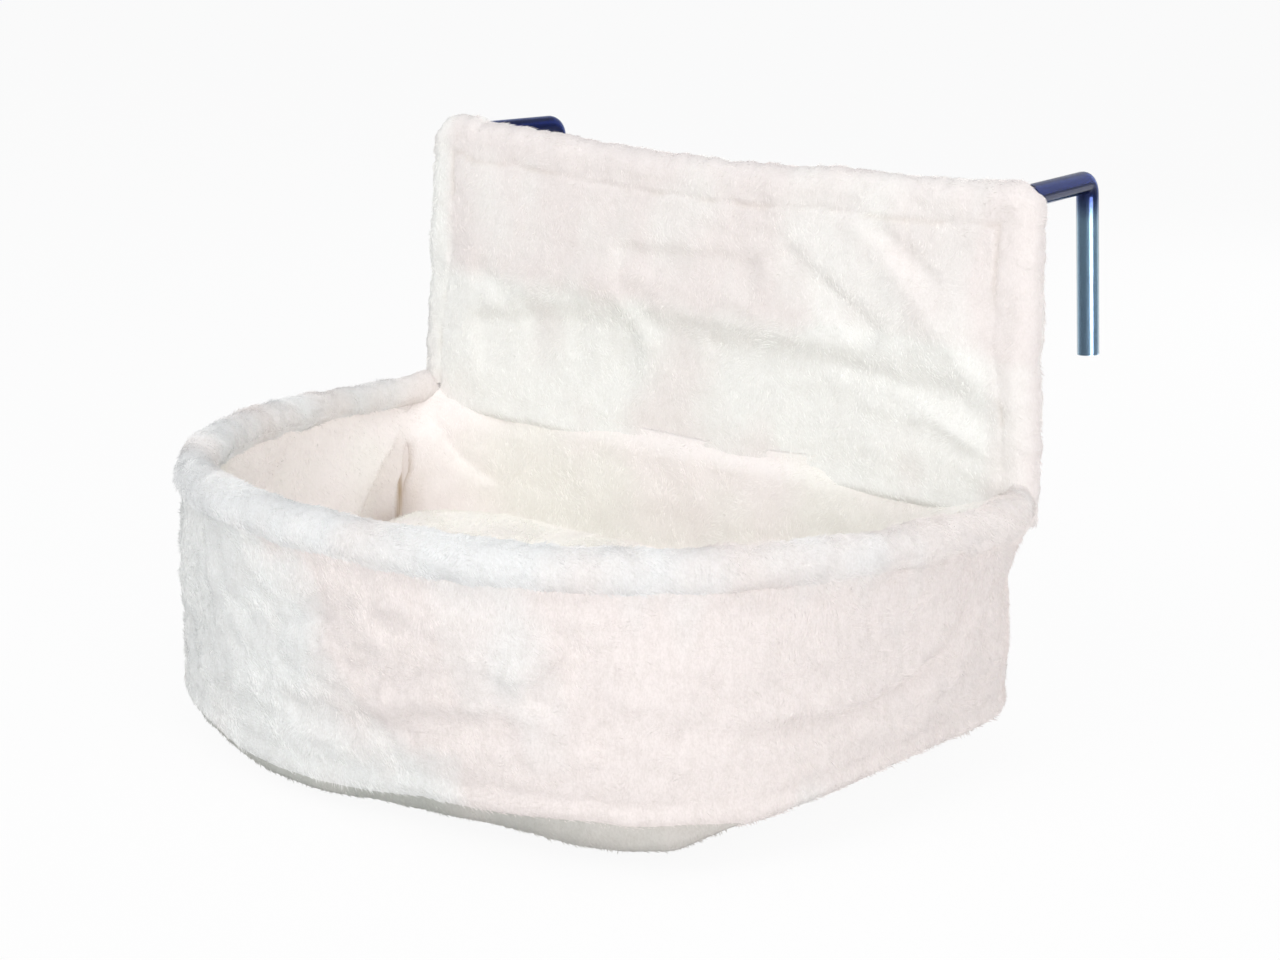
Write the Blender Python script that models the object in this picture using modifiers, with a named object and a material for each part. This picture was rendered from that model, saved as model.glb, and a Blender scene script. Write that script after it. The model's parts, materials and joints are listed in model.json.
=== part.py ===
"""A cat bed that hangs on a radiator: a padded back panel, two steel hooks and a padded plush tub.

Metres, +Z up. +X runs along the panel, -Y points from the radiator into the room. The pieces are
drawn round the middle of the panel at the height of the rim, and one empty carries them all to the
part's own origin, which is the bottom centre of its bounding box.
"""

import math

import bmesh
import bpy
from mathutils import Matrix, Vector

# Clearances
gap = 0.0003
stuffing_gap = 0.0007
cushion_gap = 0.0025
seam_gap = 0.0009
base_seam_gap = 0.0014
overrun = 0.020
weld_distance = 0.00001

# Steel hoop inside the rim, and the spigots at its ends
hoop_rod_radius = 0.004
hoop_outset = 0.0169
hoop_depth = 0.3066
hoop_power = 2.5
hoop_rise = math.radians(2.5)
hoop_bend_start = 0.050
hoop_bend_reach = 0.028
hoop_bend_dip = 0.006
spigot_base = 0.020
spigot_length = 0.032

# Hooks: steel tube with a plastic sleeve
hook_tube_radius = 0.005
hook_tube_wall = 0.0007
hook_edge_inset = 0.0139
hook_lean = math.radians(3.3)
hook_swivel = math.radians(4.0)
hook_slot_swing = math.radians(12.0)
hook_arm_drop = 0.011
hook_arm_length = 0.089
hook_elbow_radius = 0.008
hook_leg_drop = 0.0935
hook_leg_splay = math.radians(1.6)
hook_foot_height = 0.024
sleeve_wall = 0.0007
sleeve_start = 0.009

# Padded back panel
panel_top_half_width = 0.2014
panel_height = 0.168
panel_thickness = 0.023
panel_top_sag = 0.004
panel_corner_radius = 0.016
panel_side_border = 0.0225
panel_top_border = 0.022
panel_cloth = 0.002
stitch_groove_depth = 0.0032
stitch_groove_width = 0.0045
upright_foam_radius = 0.008
upright_foam_start = 0.029

# Rim
rim_radius = 0.0115
rim_cloth = 0.0018

# Tub walls
tub_side_outset = 0.006
tub_front_outset = 0.0059
tub_top_power = 2.5
seam_side_taper = 0.007
seam_front_taper = 0.0185
tub_seam_power = 3.1
tub_rear = 0.0105
tub_rear_corner = 0.074
tub_wall_height = 0.0855
tub_seam_tilt = math.radians(2.0)
tub_wall_bulge = 0.003
tub_cloth = 0.0022
tub_wadding = 0.005
lining_fold_depth = 0.010
lining_fold_width = 0.014
lining_fold_run = 0.060
fold_start_share = 0.12
fold_end_share = 0.85

# Underside, board and floor cushion
base_drop = 0.123
base_tilt = math.radians(3.0)
base_side_inset = 0.030
base_front_inset = 0.011
base_rear_inset = 0.016
base_corner = 0.082
base_cloth = 0.002
board_thickness = 0.003
board_margin = 0.004
cushion_edge_drop = 0.074
cushion_crown_drop = 0.056
cushion_row_power = 1.3

# How finely round and soft forms are cut
steel_sides = 10
sleeve_sides = 12
rim_sides = 12
rim_steps = 30
fine_steps = 240
bend_steps = 7
elbow_steps = 5
front_steps = 30
corner_steps = 5
rear_steps = 5
wall_rows = 6
base_rows = 5
cushion_side_rows = 2
cushion_crown_rows = 4
field_columns = 16
field_rows = 9
plain_columns = 6
plain_rows = 5
sharp_angle = math.radians(40.0)

# Main folds of the panel's front cloth: end points as shares of the half width and of the height,
# then how far the cloth is drawn in and how wide the fold is
fold_shares = (
    ((-0.78, 0.30), (-0.53, 0.44)),
    ((-0.53, 0.44), (-0.26, 0.39)),
    ((-0.26, 0.42), (0.48, 0.42)),
    ((0.48, 0.42), (0.92, 0.33)),
    ((0.28, 0.72), (0.80, 0.42)),
    ((-0.30, 0.64), (0.26, 0.55)),
)
fold_depth = 0.0042
fold_width = 0.0125

# Where the panel's rounded edge has its rows, as shares of half the panel's thickness
round_shares = (0.0, 0.16, 0.5, 1.0)

half_thickness = panel_thickness / 2
panel_bottom = -rim_radius
hook_x = panel_top_half_width - hook_edge_inset
hook_arm_height = panel_height - hook_arm_drop
hook_base_x = hook_x + hook_arm_height * math.tan(hook_lean)
panel_rim_half_width = hook_base_x + hook_edge_inset
hoop_half_width = hook_base_x + hoop_outset
tub_top_half_width = hoop_half_width + tub_side_outset
tub_top_depth = hoop_depth + tub_front_outset
tub_seam_half_width = tub_top_half_width - seam_side_taper
tub_seam_depth = tub_top_depth - seam_front_taper
sleeve_radius = hook_tube_radius + gap + sleeve_wall
arm_reach = hook_arm_length * math.cos(hook_swivel) + sleeve_radius
bed_front = -(hoop_depth + rim_radius)
origin_y = (bed_front + arm_reach) / 2


def clear_scene():
    for old in list(bpy.data.objects):
        bpy.data.objects.remove(old, do_unlink=True)


def collection(name):
    made = bpy.data.collections.new(name)
    bpy.context.scene.collection.children.link(made)
    return made


def material(name, colour, roughness, metallic=0.0, alpha=1.0):
    made = bpy.data.materials.new(name)
    made.use_nodes = True
    shader = made.node_tree.nodes["Principled BSDF"]
    shader.inputs["Base Color"].default_value = (*colour, 1.0)
    shader.inputs["Roughness"].default_value = roughness
    shader.inputs["Metallic"].default_value = metallic
    shader.inputs["Alpha"].default_value = alpha
    made.diffuse_color = (*colour, alpha)
    return made


def mesh_object(name, bm, finish, parent):
    """One piece from a bmesh, in the bed's collection."""
    mesh = bpy.data.meshes.new(name)
    bm.to_mesh(mesh)
    bm.free()
    mesh.materials.append(finish)
    mesh.shade_smooth()
    mesh.set_sharp_from_angle(angle=sharp_angle)
    made = bpy.data.objects.new(name, mesh)
    pieces.objects.link(made)
    made.parent = parent
    return made


def tube(name, points, radius, sides, finish, parent, wall=0.0):
    """A round rod along the points, or a tube open at both ends where a wall is given."""
    curve = bpy.data.curves.new(name, "CURVE")
    curve.dimensions = "3D"
    curve.bevel_depth = radius
    curve.bevel_resolution = (sides - 4) // 2
    curve.use_fill_caps = wall == 0.0
    spline = curve.splines.new("POLY")
    spline.points.add(len(points) - 1)
    for spot, place in zip(spline.points, points):
        spot.co = (*place, 1.0)
    curve.materials.append(finish)
    made = bpy.data.objects.new(name, curve)
    pieces.objects.link(made)
    made.parent = parent
    if wall:
        shell = made.modifiers.new("wall", "SOLIDIFY")
        shell.thickness = wall
        shell.offset = -1.0
    return made


def as_mesh(piece):
    """The same piece as a mesh with welded caps, so that it can be cut."""
    bpy.context.view_layer.update()
    graph = bpy.context.evaluated_depsgraph_get()
    mesh = bpy.data.meshes.new_from_object(piece.evaluated_get(graph))
    name = piece.name
    parent = piece.parent
    world = piece.matrix_world.copy()
    group = piece.users_collection[0]
    bpy.data.objects.remove(piece, do_unlink=True)
    mesh.name = name
    bm = bmesh.new()
    bm.from_mesh(mesh)
    bmesh.ops.remove_doubles(bm, verts=bm.verts, dist=weld_distance)
    bmesh.ops.recalc_face_normals(bm, faces=bm.faces)
    bm.to_mesh(mesh)
    bm.free()
    mesh.shade_smooth()
    made = bpy.data.objects.new(name, mesh)
    group.objects.link(made)
    made.parent = parent
    made.matrix_world = world
    return made


def cutter(piece):
    """Turns a piece into a hidden cutting tool."""
    pieces.objects.unlink(piece)
    cutters.objects.link(piece)
    piece.hide_render = True
    piece.display_type = "WIRE"
    return piece


def box_cutter(name, low, high, parent):
    bm = bmesh.new()
    bmesh.ops.create_cube(bm, size=1.0)
    low = Vector(low)
    high = Vector(high)
    bmesh.ops.scale(bm, vec=high - low, verts=bm.verts)
    bmesh.ops.translate(bm, vec=(low + high) / 2, verts=bm.verts)
    return cutter(mesh_object(name, bm, plush_white, parent))


def cut(piece, tool):
    hole = piece.modifiers.new("cut " + tool.name, "BOOLEAN")
    hole.operation = "DIFFERENCE"
    hole.solver = "EXACT"
    hole.object = tool


def blend(first, second, share):
    return first + (second - first) * share


# The hoop


def hoop_height(y):
    """The rim rises from the panel towards the front."""
    return -y * math.tan(hoop_rise)


def superellipse(half_width, depth, power, angle):
    c = math.cos(angle)
    s = max(math.sin(angle), 0.0)
    x = half_width * math.copysign(abs(c) ** (2 / power), c)
    return x, -depth * s ** (2 / power)


def even_shares(points, count):
    """Where points at equal spacing fall along a finely drawn curve, as shares of its own steps."""
    lengths = [0.0]
    for a, b in zip(points, points[1:]):
        lengths.append(lengths[-1] + (b - a).length)
    shares = []
    span = 0
    for i in range(count + 1):
        wanted = lengths[-1] * i / count
        while span < len(points) - 2 and lengths[span + 1] < wanted:
            span += 1
        part = (wanted - lengths[span]) / (lengths[span + 1] - lengths[span])
        shares.append((span + min(part, 1.0)) / (len(points) - 1))
    return shares


def front_arc(half_width, depth, power, straight, shares):
    """The round front of an outline, from +X to -X, where the straight sides start this far forward."""
    start = math.asin((straight / depth) ** (power / 2))
    arc = []
    for share in shares:
        x, y = superellipse(half_width, depth, power, blend(start, math.pi - start, share))
        arc.append(Vector((x, y)))
    return arc


def hoop_front():
    """The bent front of the hoop, from its left side round to its right side."""
    fine = [i / fine_steps for i in range(fine_steps + 1)]
    shape = (hoop_half_width, hoop_depth, hoop_power, hoop_bend_start)
    shares = even_shares(front_arc(*shape, fine), rim_steps)
    arc = front_arc(*shape, shares)
    return [Vector((*spot, hoop_height(spot.y))) for spot in reversed(arc)]


def hook_axis(side):
    """Direction of the upright on one side, which leans in at the top."""
    return Vector((-side * math.sin(hook_lean), 0.0, math.cos(hook_lean)))


def axis_point(side, height):
    """The point of an upright's axis at a distance up it from the rim's level."""
    return Vector((side * hook_base_x, 0.0, 0.0)) + hook_axis(side) * height


def hoop_bend(side, steps):
    """The end of the hoop, which turns in and up from the rim into its spigot."""
    start = hoop_front()[0 if side < 0 else -1]
    first = start + Vector((0.0, hoop_bend_reach, -hoop_height(-hoop_bend_reach) / 2))
    last = axis_point(side, spigot_base)
    second = axis_point(side, -hoop_bend_dip)
    bend = []
    for i in range(1, steps + 1):
        t = i / steps
        u = 1 - t
        spot = start * u**3 + first * 3 * u * u * t + second * 3 * u * t * t + last * t**3
        bend.append(spot)
    return bend


def hoop_route():
    left = hoop_bend(-1, bend_steps)
    right = hoop_bend(1, bend_steps)
    tip = spigot_base + spigot_length
    ends = [[axis_point(-1, tip)] + left[::-1], right + [axis_point(1, tip)]]
    return ends[0] + hoop_front() + ends[1]


def rim_route():
    """The part of the hoop that the rim's foam and plush cover, run a little into the panel."""
    covered = bend_steps - 2
    left = hoop_bend(-1, bend_steps)[:covered]
    right = hoop_bend(1, bend_steps)[:covered]
    return left[::-1] + hoop_front() + right


def build_hoop_and_rim():
    tube("rim_hoop", hoop_route(), hoop_rod_radius, steel_sides, steel, bed)
    outer = rim_radius - rim_cloth - gap
    wall = outer - hoop_rod_radius - gap
    foam = as_mesh(tube("rim_foam", rim_route(), outer, rim_sides, foam_grey, bed, wall))
    cover = as_mesh(tube("rim_cover", rim_route(), rim_radius, rim_sides, plush_white, bed, rim_cloth))
    face = box_cutter(
        "panel_front_plane",
        (-hoop_half_width - overrun, -half_thickness - gap, -overrun),
        (hoop_half_width + overrun, overrun, overrun),
        bed,
    )
    cut(foam, face)
    cut(cover, face)


# The hooks


def hook_route(start, side):
    """Upright, elbow, arm, elbow and leg, round the upright's own axis, from a height or a reach."""
    r = hook_elbow_radius
    top = hook_arm_height / math.cos(hook_lean)
    points = []
    if start < r:
        points.append(Vector((0.0, 0.0, hook_foot_height)))
        for i in range(elbow_steps + 1):
            a = math.pi / 2 * i / elbow_steps
            points.append(Vector((0.0, r - r * math.cos(a), top - r + r * math.sin(a))))
    else:
        points.append(Vector((0.0, start, top)))
    for i in range(elbow_steps + 1):
        a = math.pi / 2 * i / elbow_steps
        y = hook_arm_length - r + r * math.sin(a)
        points.append(Vector((0.0, y, top - r + r * math.cos(a))))
    run = hook_leg_drop - r
    points.append(points[-1] + Vector((side * run * math.tan(hook_leg_splay), 0.0, -run)))
    return points


def build_hook(side, name):
    """One hook, which turns on its upright inside the panel."""
    pivot = bpy.data.objects.new("hook_swivel_" + name, None)
    pieces.objects.link(pivot)
    pivot.parent = bed
    lean = Matrix.Rotation(-side * hook_lean, 4, "Y")
    turn = Matrix.Rotation(side * hook_swivel, 4, "Z")
    pivot.matrix_local = Matrix.Translation((side * hook_base_x, 0.0, 0.0)) @ lean @ turn
    tube(
        "hook_rod_" + name,
        hook_route(0.0, side),
        hook_tube_radius,
        sleeve_sides,
        steel,
        pivot,
        hook_tube_wall,
    )
    tube(
        "hook_sleeve_" + name,
        hook_route(sleeve_start, side),
        sleeve_radius,
        sleeve_sides,
        sleeve_blue,
        pivot,
        sleeve_wall,
    )


def build_upright_foam(side, name):
    """Foam round the upright, from above the hoop's bend to under the arm."""
    low = axis_point(side, upright_foam_start)
    high = axis_point(side, hook_arm_height - sleeve_radius - hook_elbow_radius / 2)
    wall = upright_foam_radius - hook_tube_radius - gap
    route = [low, high]
    tube("upright_foam_" + name, route, upright_foam_radius, sleeve_sides, foam_grey, bed, wall)


# The back panel


def panel_half_width(z):
    share = z / panel_height
    return blend(panel_rim_half_width, panel_top_half_width, max(share, 0.0))


def panel_top(x):
    return panel_height - panel_top_sag * (1 - (x / panel_top_half_width) ** 2)


def fold_draw(x, z):
    """How far the main folds draw the front cloth in at a place on the panel."""
    draw = 0.0
    for (u0, v0), (u1, v1) in fold_shares:
        start = Vector((u0 * panel_top_half_width, v0 * panel_height))
        along = Vector((u1 * panel_top_half_width, v1 * panel_height)) - start
        share = (Vector((x, z)) - start).dot(along) / along.length_squared
        near = start + along * min(max(share, 0.0), 1.0)
        off = (Vector((x, z)) - near).length / fold_width
        draw = max(draw, fold_depth * math.exp(-off * off))
    return draw


def steps_in(border):
    """Distances in from an edge: its rounded part and, where it has a border, the stitched groove."""
    rounded = [half_thickness * share for share in round_shares]
    if not border:
        return rounded
    return rounded + [border - stitch_groove_width, border, border + stitch_groove_width]


def grid_lines(low_steps, high_steps, count):
    """Lines across a sheet, each as an edge and a distance in from it, or 0 and a share of the field."""
    lines = [(-1, step) for step in low_steps]
    lines += [(0, i / count) for i in range(1, count)]
    return lines + [(1, step) for step in reversed(high_steps)]


def between(line, low, high, low_in, high_in):
    edge, value = line
    if edge < 0:
        return low + value
    if edge > 0:
        return high - value
    return blend(low + low_in, high - high_in, value)


def rounded_corner(x, z, edge_x, edge_z):
    """Moves a point near a corner of the panel so that lines round the corner become arcs."""
    upper = z > panel_height / 2
    radius = panel_corner_radius if upper else half_thickness
    over_x = radius - edge_x
    over_z = radius - edge_z
    if over_x <= 0 or over_z <= 0:
        return x, z
    pull = 1 - max(over_x, over_z) / math.hypot(over_x, over_z)
    return x - math.copysign(over_x * pull, x), z + (-over_z if upper else over_z) * pull


def panel_depth(x, z, edge_x, edge_z, drop):
    """How far the front cloth stands from the panel's middle, with its stitched grooves and folds."""
    depth = 0.0
    inside = edge_x > panel_side_border and drop > panel_top_border
    side_off = edge_x - panel_side_border if drop > panel_top_border else panel_thickness
    top_off = drop - panel_top_border if edge_x > panel_side_border else panel_thickness
    off = min(abs(side_off), abs(top_off)) / stitch_groove_width
    depth -= stitch_groove_depth * math.exp(-2 * off * off)
    if inside:
        depth -= fold_draw(x, z)
    return depth


def panel_sheet(front, columns, rows):
    """One face of the panel, from the seam round its edge to its field."""
    side_steps = steps_in(panel_side_border if front else 0.0)
    top_steps = steps_in(panel_top_border if front else 0.0)
    low_steps = steps_in(0.0)
    across = grid_lines(side_steps, side_steps, columns)
    upward = grid_lines(low_steps, top_steps, rows)
    bm = bmesh.new()
    grid = []
    for row in upward:
        line = []
        for column in across:
            reach = panel_top_half_width
            nominal = between(column, -reach, reach, side_steps[-1], side_steps[-1])
            top = panel_top(nominal)
            z = between(row, panel_bottom, top, low_steps[-1], top_steps[-1])
            width = panel_half_width(z)
            x = between(column, -width, width, side_steps[-1], side_steps[-1])
            edge_x = width - abs(x)
            edge_z = min(z - panel_bottom, top - z)
            share = min(min(edge_x, edge_z) / half_thickness, 1.0)
            depth = half_thickness * math.sqrt(1 - (1 - share) ** 2)
            if front:
                depth += panel_depth(x, z, edge_x, edge_z, top - z)
            depth = max(depth, seam_gap)
            x, z = rounded_corner(x, z, edge_x, edge_z)
            line.append(bm.verts.new((x, -depth if front else depth, z)))
        grid.append(line)
    for low, high in zip(grid, grid[1:]):
        for i in range(len(across) - 1):
            corners = [low[i], low[i + 1], high[i + 1], high[i]]
            bm.faces.new(corners if front else corners[::-1])
    return bm


def panel_cover(name, front, columns, rows):
    cover = mesh_object(name, panel_sheet(front, columns, rows), plush_white, bed)
    shell = cover.modifiers.new("cloth", "SOLIDIFY")
    shell.thickness = panel_cloth
    shell.offset = -1.0
    return cover


def build_panel_wadding():
    """The pad in the field, inside the stitched line on both sides and along the top."""
    inset = panel_side_border + stitch_groove_width
    skin = panel_cloth + stuffing_gap
    low = half_thickness - rim_radius
    bm = bmesh.new()
    front = []
    for j in range(field_rows + 1):
        line = []
        for i in range(field_columns + 1):
            z_share = j / field_rows
            x_share = 2 * i / field_columns - 1
            guess = blend(low, panel_height - panel_top_border, z_share)
            x = x_share * (panel_half_width(guess) - inset)
            top = panel_top(x) - panel_top_border - stitch_groove_width
            z = blend(low, top, z_share)
            line.append(bm.verts.new((x, -(half_thickness - skin - fold_draw(x, z) - gap), z)))
        front.append(line)
    for a, b in zip(front, front[1:]):
        for i in range(field_columns):
            bm.faces.new([a[i], a[i + 1], b[i + 1], b[i]])
    made = bmesh.ops.extrude_face_region(bm, geom=bm.faces[:])
    for vert in made["geom"]:
        if isinstance(vert, bmesh.types.BMVert):
            vert.co.y = half_thickness - skin
    bmesh.ops.recalc_face_normals(bm, faces=bm.faces)
    mesh_object("panel_wadding", bm, wadding_white, bed)


def build_panel():
    front = panel_cover("panel_front_cover", True, field_columns, field_rows)
    back = panel_cover("panel_back_cover", False, plain_columns, plain_rows)
    build_panel_wadding()
    hoop_hole = tube(
        "hoop_hole", hoop_route(), hoop_rod_radius + gap, steel_sides, steel, bed
    )
    cut(front, cutter(as_mesh(hoop_hole)))
    reach = half_thickness * math.tan(hook_slot_swing)
    slot = sleeve_radius / math.cos(hook_slot_swing) + reach + gap
    for side, name in sides:
        slot_box = box_cutter(
            "arm_slot_" + name,
            (side * hook_x - slot, gap, hook_arm_height - sleeve_radius - gap),
            (side * hook_x + slot, half_thickness + overrun, panel_height + overrun),
            bed,
        )
        cut(back, slot_box)


# The tub


def tub_shares():
    """Equal steps round the front of the tub, which all its layers share."""
    fine = [i / fine_steps for i in range(fine_steps + 1)]
    straight = tub_rear_corner - tub_rear
    arc = front_arc(tub_top_half_width, tub_top_depth, tub_top_power, straight, fine)
    return even_shares(arc, front_steps)


def tub_loop(half_width, depth, power, rear, corner):
    """A closed outline seen from above: a round front, straight sides and rounded rear corners."""
    outline = front_arc(half_width, depth, power, corner - rear, tub_shares())
    side = outline[0].x
    for i in range(1, corner_steps + 1):
        a = math.pi / 2 * i / corner_steps
        x = side - corner + corner * math.cos(a)
        outline.append(Vector((-x, rear - corner + corner * math.sin(a))))
    for i in range(1, rear_steps):
        outline.append(Vector((blend(-side + corner, side - corner, i / rear_steps), rear)))
    for i in range(corner_steps):
        a = math.pi / 2 * i / corner_steps
        x = side - corner + corner * math.sin(a)
        outline.append(Vector((x, rear - corner + corner * math.cos(a))))
    return outline


def seam_height(y):
    """The seam round the foot of the walls, which drops towards the front."""
    return -(rim_radius + tub_wall_height) + y * math.tan(tub_seam_tilt)


def wall_loop(share, inset, fold=0.0):
    """The wall's outline at a share of its height, top 0 and seam 1, with its heights."""
    bulge = tub_wall_bulge * math.sin(math.pi * share)
    outline = tub_loop(
        blend(tub_top_half_width, tub_seam_half_width, share) + bulge - inset,
        blend(tub_top_depth, tub_seam_depth, share) + bulge - inset,
        blend(tub_top_power, tub_seam_power, share),
        tub_rear - inset,
        tub_rear_corner - inset,
    )
    row = []
    for spot in outline:
        high = hoop_height(spot.y) - rim_radius - gap
        low = seam_height(spot.y) + base_seam_gap
        x, y = spot
        if fold and x < 0:
            middle = -lining_fold_run * share
            off = (y - middle) / lining_fold_width
            along = blend(fold_start_share, fold_end_share, share)
            x += fold * math.exp(-off * off) * math.sin(math.pi * along)
        row.append(Vector((x, y, blend(high, low, share))))
    return row


def loft(bm, rows, around=True):
    """Quads between rows of points, closed along each row, and round the rows where asked."""
    made = [[bm.verts.new(spot) for spot in row] for row in rows]
    pairs = list(zip(made, made[1:]))
    if around:
        pairs.append((made[-1], made[0]))
    for a, b in pairs:
        for i in range(len(a)):
            j = (i + 1) % len(a)
            bm.faces.new([a[i], a[j], b[j], b[i]])
    return made


def wall_layer(name, outer, thickness, finish, fold=0.0):
    """One layer of the tub's wall, as a ring between two insets from the outside."""
    shares = [i / wall_rows for i in range(wall_rows + 1)]
    rows = [wall_loop(share, outer) for share in shares]
    rows += [wall_loop(share, outer + thickness, fold) for share in reversed(shares)]
    bm = bmesh.new()
    loft(bm, rows)
    bmesh.ops.recalc_face_normals(bm, faces=bm.faces)
    return mesh_object(name, bm, finish, bed)


def base_height(y):
    """The foot's plane, which is lowest at its front edge."""
    return -base_drop + (y + tub_seam_depth - base_front_inset) * math.tan(base_tilt)


def foot_loop(lift):
    """The outline of what lies on the foot, at a height above it."""
    return [Vector((*spot.xy, base_height(spot.y) + lift)) for spot in base_loop(1.0, board_margin)]


def base_loop(share, margin=0.0):
    """The underside's outline from the wall's seam, share 0, to its flat foot, share 1."""
    inward = 1 - math.cos(share * math.pi / 2)
    outline = tub_loop(
        tub_seam_half_width - base_side_inset * inward - margin,
        tub_seam_depth - base_front_inset * inward - margin,
        tub_seam_power,
        tub_rear - base_rear_inset * inward - margin,
        blend(tub_rear_corner, base_corner, inward) - margin,
    )
    fall = math.sin(share * math.pi / 2)
    return [Vector((*p, blend(seam_height(p.y), base_height(p.y), fall))) for p in outline]


def build_underside():
    bm = bmesh.new()
    rows = loft(bm, [base_loop(i / base_rows) for i in range(base_rows + 1)], around=False)
    bm.faces.new(rows[-1])
    bmesh.ops.recalc_face_normals(bm, faces=bm.faces)
    made = mesh_object("tub_underside", bm, plush_white, bed)
    shell = made.modifiers.new("cloth", "SOLIDIFY")
    shell.thickness = base_cloth
    shell.offset = -1.0


def build_board():
    bm = bmesh.new()
    foot = bm.faces.new([bm.verts.new(spot) for spot in foot_loop(base_cloth + gap)])
    made = bmesh.ops.extrude_face_region(bm, geom=[foot])
    top = [v for v in made["geom"] if isinstance(v, bmesh.types.BMVert)]
    bmesh.ops.translate(bm, vec=(0.0, 0.0, board_thickness), verts=top)
    bmesh.ops.recalc_face_normals(bm, faces=bm.faces)
    mesh_object("floor_board", bm, board_brown, bed)


def build_cushion():
    """The floor cushion: a flat foot on the board, sides drawn in at the seam, a crowned top."""
    foot = base_cloth + gap + board_thickness + gap
    margin = 2 * tub_cloth + tub_wadding + 2 * gap + cushion_gap
    edge_share = (cushion_edge_drop - rim_radius) / tub_wall_height
    rows = [foot_loop(foot)]
    for i in range(cushion_side_rows + 1):
        share = blend(1.0, edge_share, i / cushion_side_rows)
        rows.append(wall_loop(share, margin, lining_fold_depth))
    edge = rows[-1]
    middle = Vector((0.0, (tub_rear - tub_seam_depth) / 2))
    for i in range(1, cushion_crown_rows):
        inward = i / cushion_crown_rows
        rise = 1 - (1 - inward) ** 2
        row = []
        for spot in edge:
            flat = spot.xy.lerp(middle, inward**cushion_row_power)
            row.append(Vector((*flat, blend(spot.z, -cushion_crown_drop, rise))))
        rows.append(row)
    bm = bmesh.new()
    made = loft(bm, rows, around=False)
    bm.faces.new(made[0][::-1])
    crown = bm.verts.new((*middle, -cushion_crown_drop))
    ring = made[-1]
    for i in range(len(ring)):
        bm.faces.new([ring[i], ring[(i + 1) % len(ring)], crown])
    bmesh.ops.recalc_face_normals(bm, faces=bm.faces)
    mesh_object("floor_cushion", bm, plush_cream, bed)


def build_tub():
    wall_layer("tub_outer_wall", 0.0, tub_cloth, plush_white)
    inner = tub_cloth + gap
    wall_layer("tub_wall_wadding", inner, tub_wadding, wadding_white)
    inner += tub_wadding + gap
    wall_layer("tub_lining", inner, tub_cloth, plush_cream, lining_fold_depth)
    build_underside()
    build_board()
    build_cushion()


clear_scene()
pieces = collection("radiator_cat_bed")
cutters = collection("cutters")
bed = bpy.data.objects.new("bed", None)
bed.location = (0.0, -origin_y, base_drop)
pieces.objects.link(bed)

plush_white = material("plush_white", (0.88, 0.86, 0.82), 0.95)
plush_cream = material("plush_cream", (0.87, 0.83, 0.76), 0.95)
wadding_white = material("wadding_white", (0.90, 0.90, 0.88), 1.0)
foam_grey = material("foam_grey", (0.45, 0.46, 0.48), 0.9)
steel = material("steel", (0.62, 0.63, 0.65), 0.25, metallic=1.0)
sleeve_blue = material("sleeve_blue", (0.08, 0.16, 0.42), 0.15, alpha=0.55)
board_brown = material("board_brown", (0.42, 0.30, 0.18), 0.8)

sides = ((-1, "left"), (1, "right"))
build_hoop_and_rim()
for side, name in sides:
    build_hook(side, name)
    build_upright_foam(side, name)
build_panel()
build_tub()
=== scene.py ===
"""Looks of the radiator cat bed: plush panel, rim and tub, clear blue sleeves on steel hooks.

Places are written in the bed's own measure: x along the panel, y from the panel's middle towards
the radiator, z up from the rim's level. place() puts them into the frame.
"""

import json
import math

import bmesh
import bpy
import numpy as np
from mathutils import Matrix, Vector, noise

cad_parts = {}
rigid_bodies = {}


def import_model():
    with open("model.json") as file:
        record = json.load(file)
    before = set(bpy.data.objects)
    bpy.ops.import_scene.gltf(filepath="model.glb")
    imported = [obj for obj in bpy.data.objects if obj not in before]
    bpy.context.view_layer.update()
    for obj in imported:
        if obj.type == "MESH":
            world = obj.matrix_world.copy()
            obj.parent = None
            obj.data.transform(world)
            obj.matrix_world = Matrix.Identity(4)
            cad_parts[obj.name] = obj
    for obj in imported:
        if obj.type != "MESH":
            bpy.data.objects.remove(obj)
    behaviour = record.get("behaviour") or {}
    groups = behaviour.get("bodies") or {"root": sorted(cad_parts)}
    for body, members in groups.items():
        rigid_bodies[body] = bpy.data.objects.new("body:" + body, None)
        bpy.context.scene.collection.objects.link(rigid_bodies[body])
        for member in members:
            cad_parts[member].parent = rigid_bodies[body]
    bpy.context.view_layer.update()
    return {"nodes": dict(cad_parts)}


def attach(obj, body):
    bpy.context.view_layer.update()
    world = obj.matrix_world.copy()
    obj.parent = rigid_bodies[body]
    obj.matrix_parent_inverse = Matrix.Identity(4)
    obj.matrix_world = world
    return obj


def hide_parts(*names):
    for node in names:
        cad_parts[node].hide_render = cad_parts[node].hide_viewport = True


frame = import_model()

bed_y = 0.11166
bed_z = 0.123

rim_radius = 0.0115
hoop_half_width = 0.21345
hoop_depth = 0.3066
hoop_power = 2.5
hoop_rise = math.tan(math.radians(2.5))
rim_start = 0.050

panel_half_thickness = 0.0115
panel_foot = -0.0112

wall_top_half_width = 0.2194
wall_top_depth = 0.3125
wall_top_power = 2.5
wall_seam_half_width = 0.2130
wall_seam_depth = 0.2945
wall_seam_power = 3.15
wall_rear = 0.0105
wall_rear_corner = 0.070
wall_cloth = 0.0022
lining_inset = 0.0080

# directions round the tub are taken from this far in front of the panel
tub_middle = 0.12
foot_drop = 0.123
foot_tilt = math.tan(math.radians(3.0))


def place(x, y, z):
    """A point of the bed's own measure in the frame."""
    return Vector((x, y + bed_y, z + bed_z))


def blend(first, second, share):
    return first + (second - first) * share


def bump(value, centre, width):
    """A soft rise round a centre, 1 at the centre."""
    off = (value - centre) / width
    return math.exp(-off * off)


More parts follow.
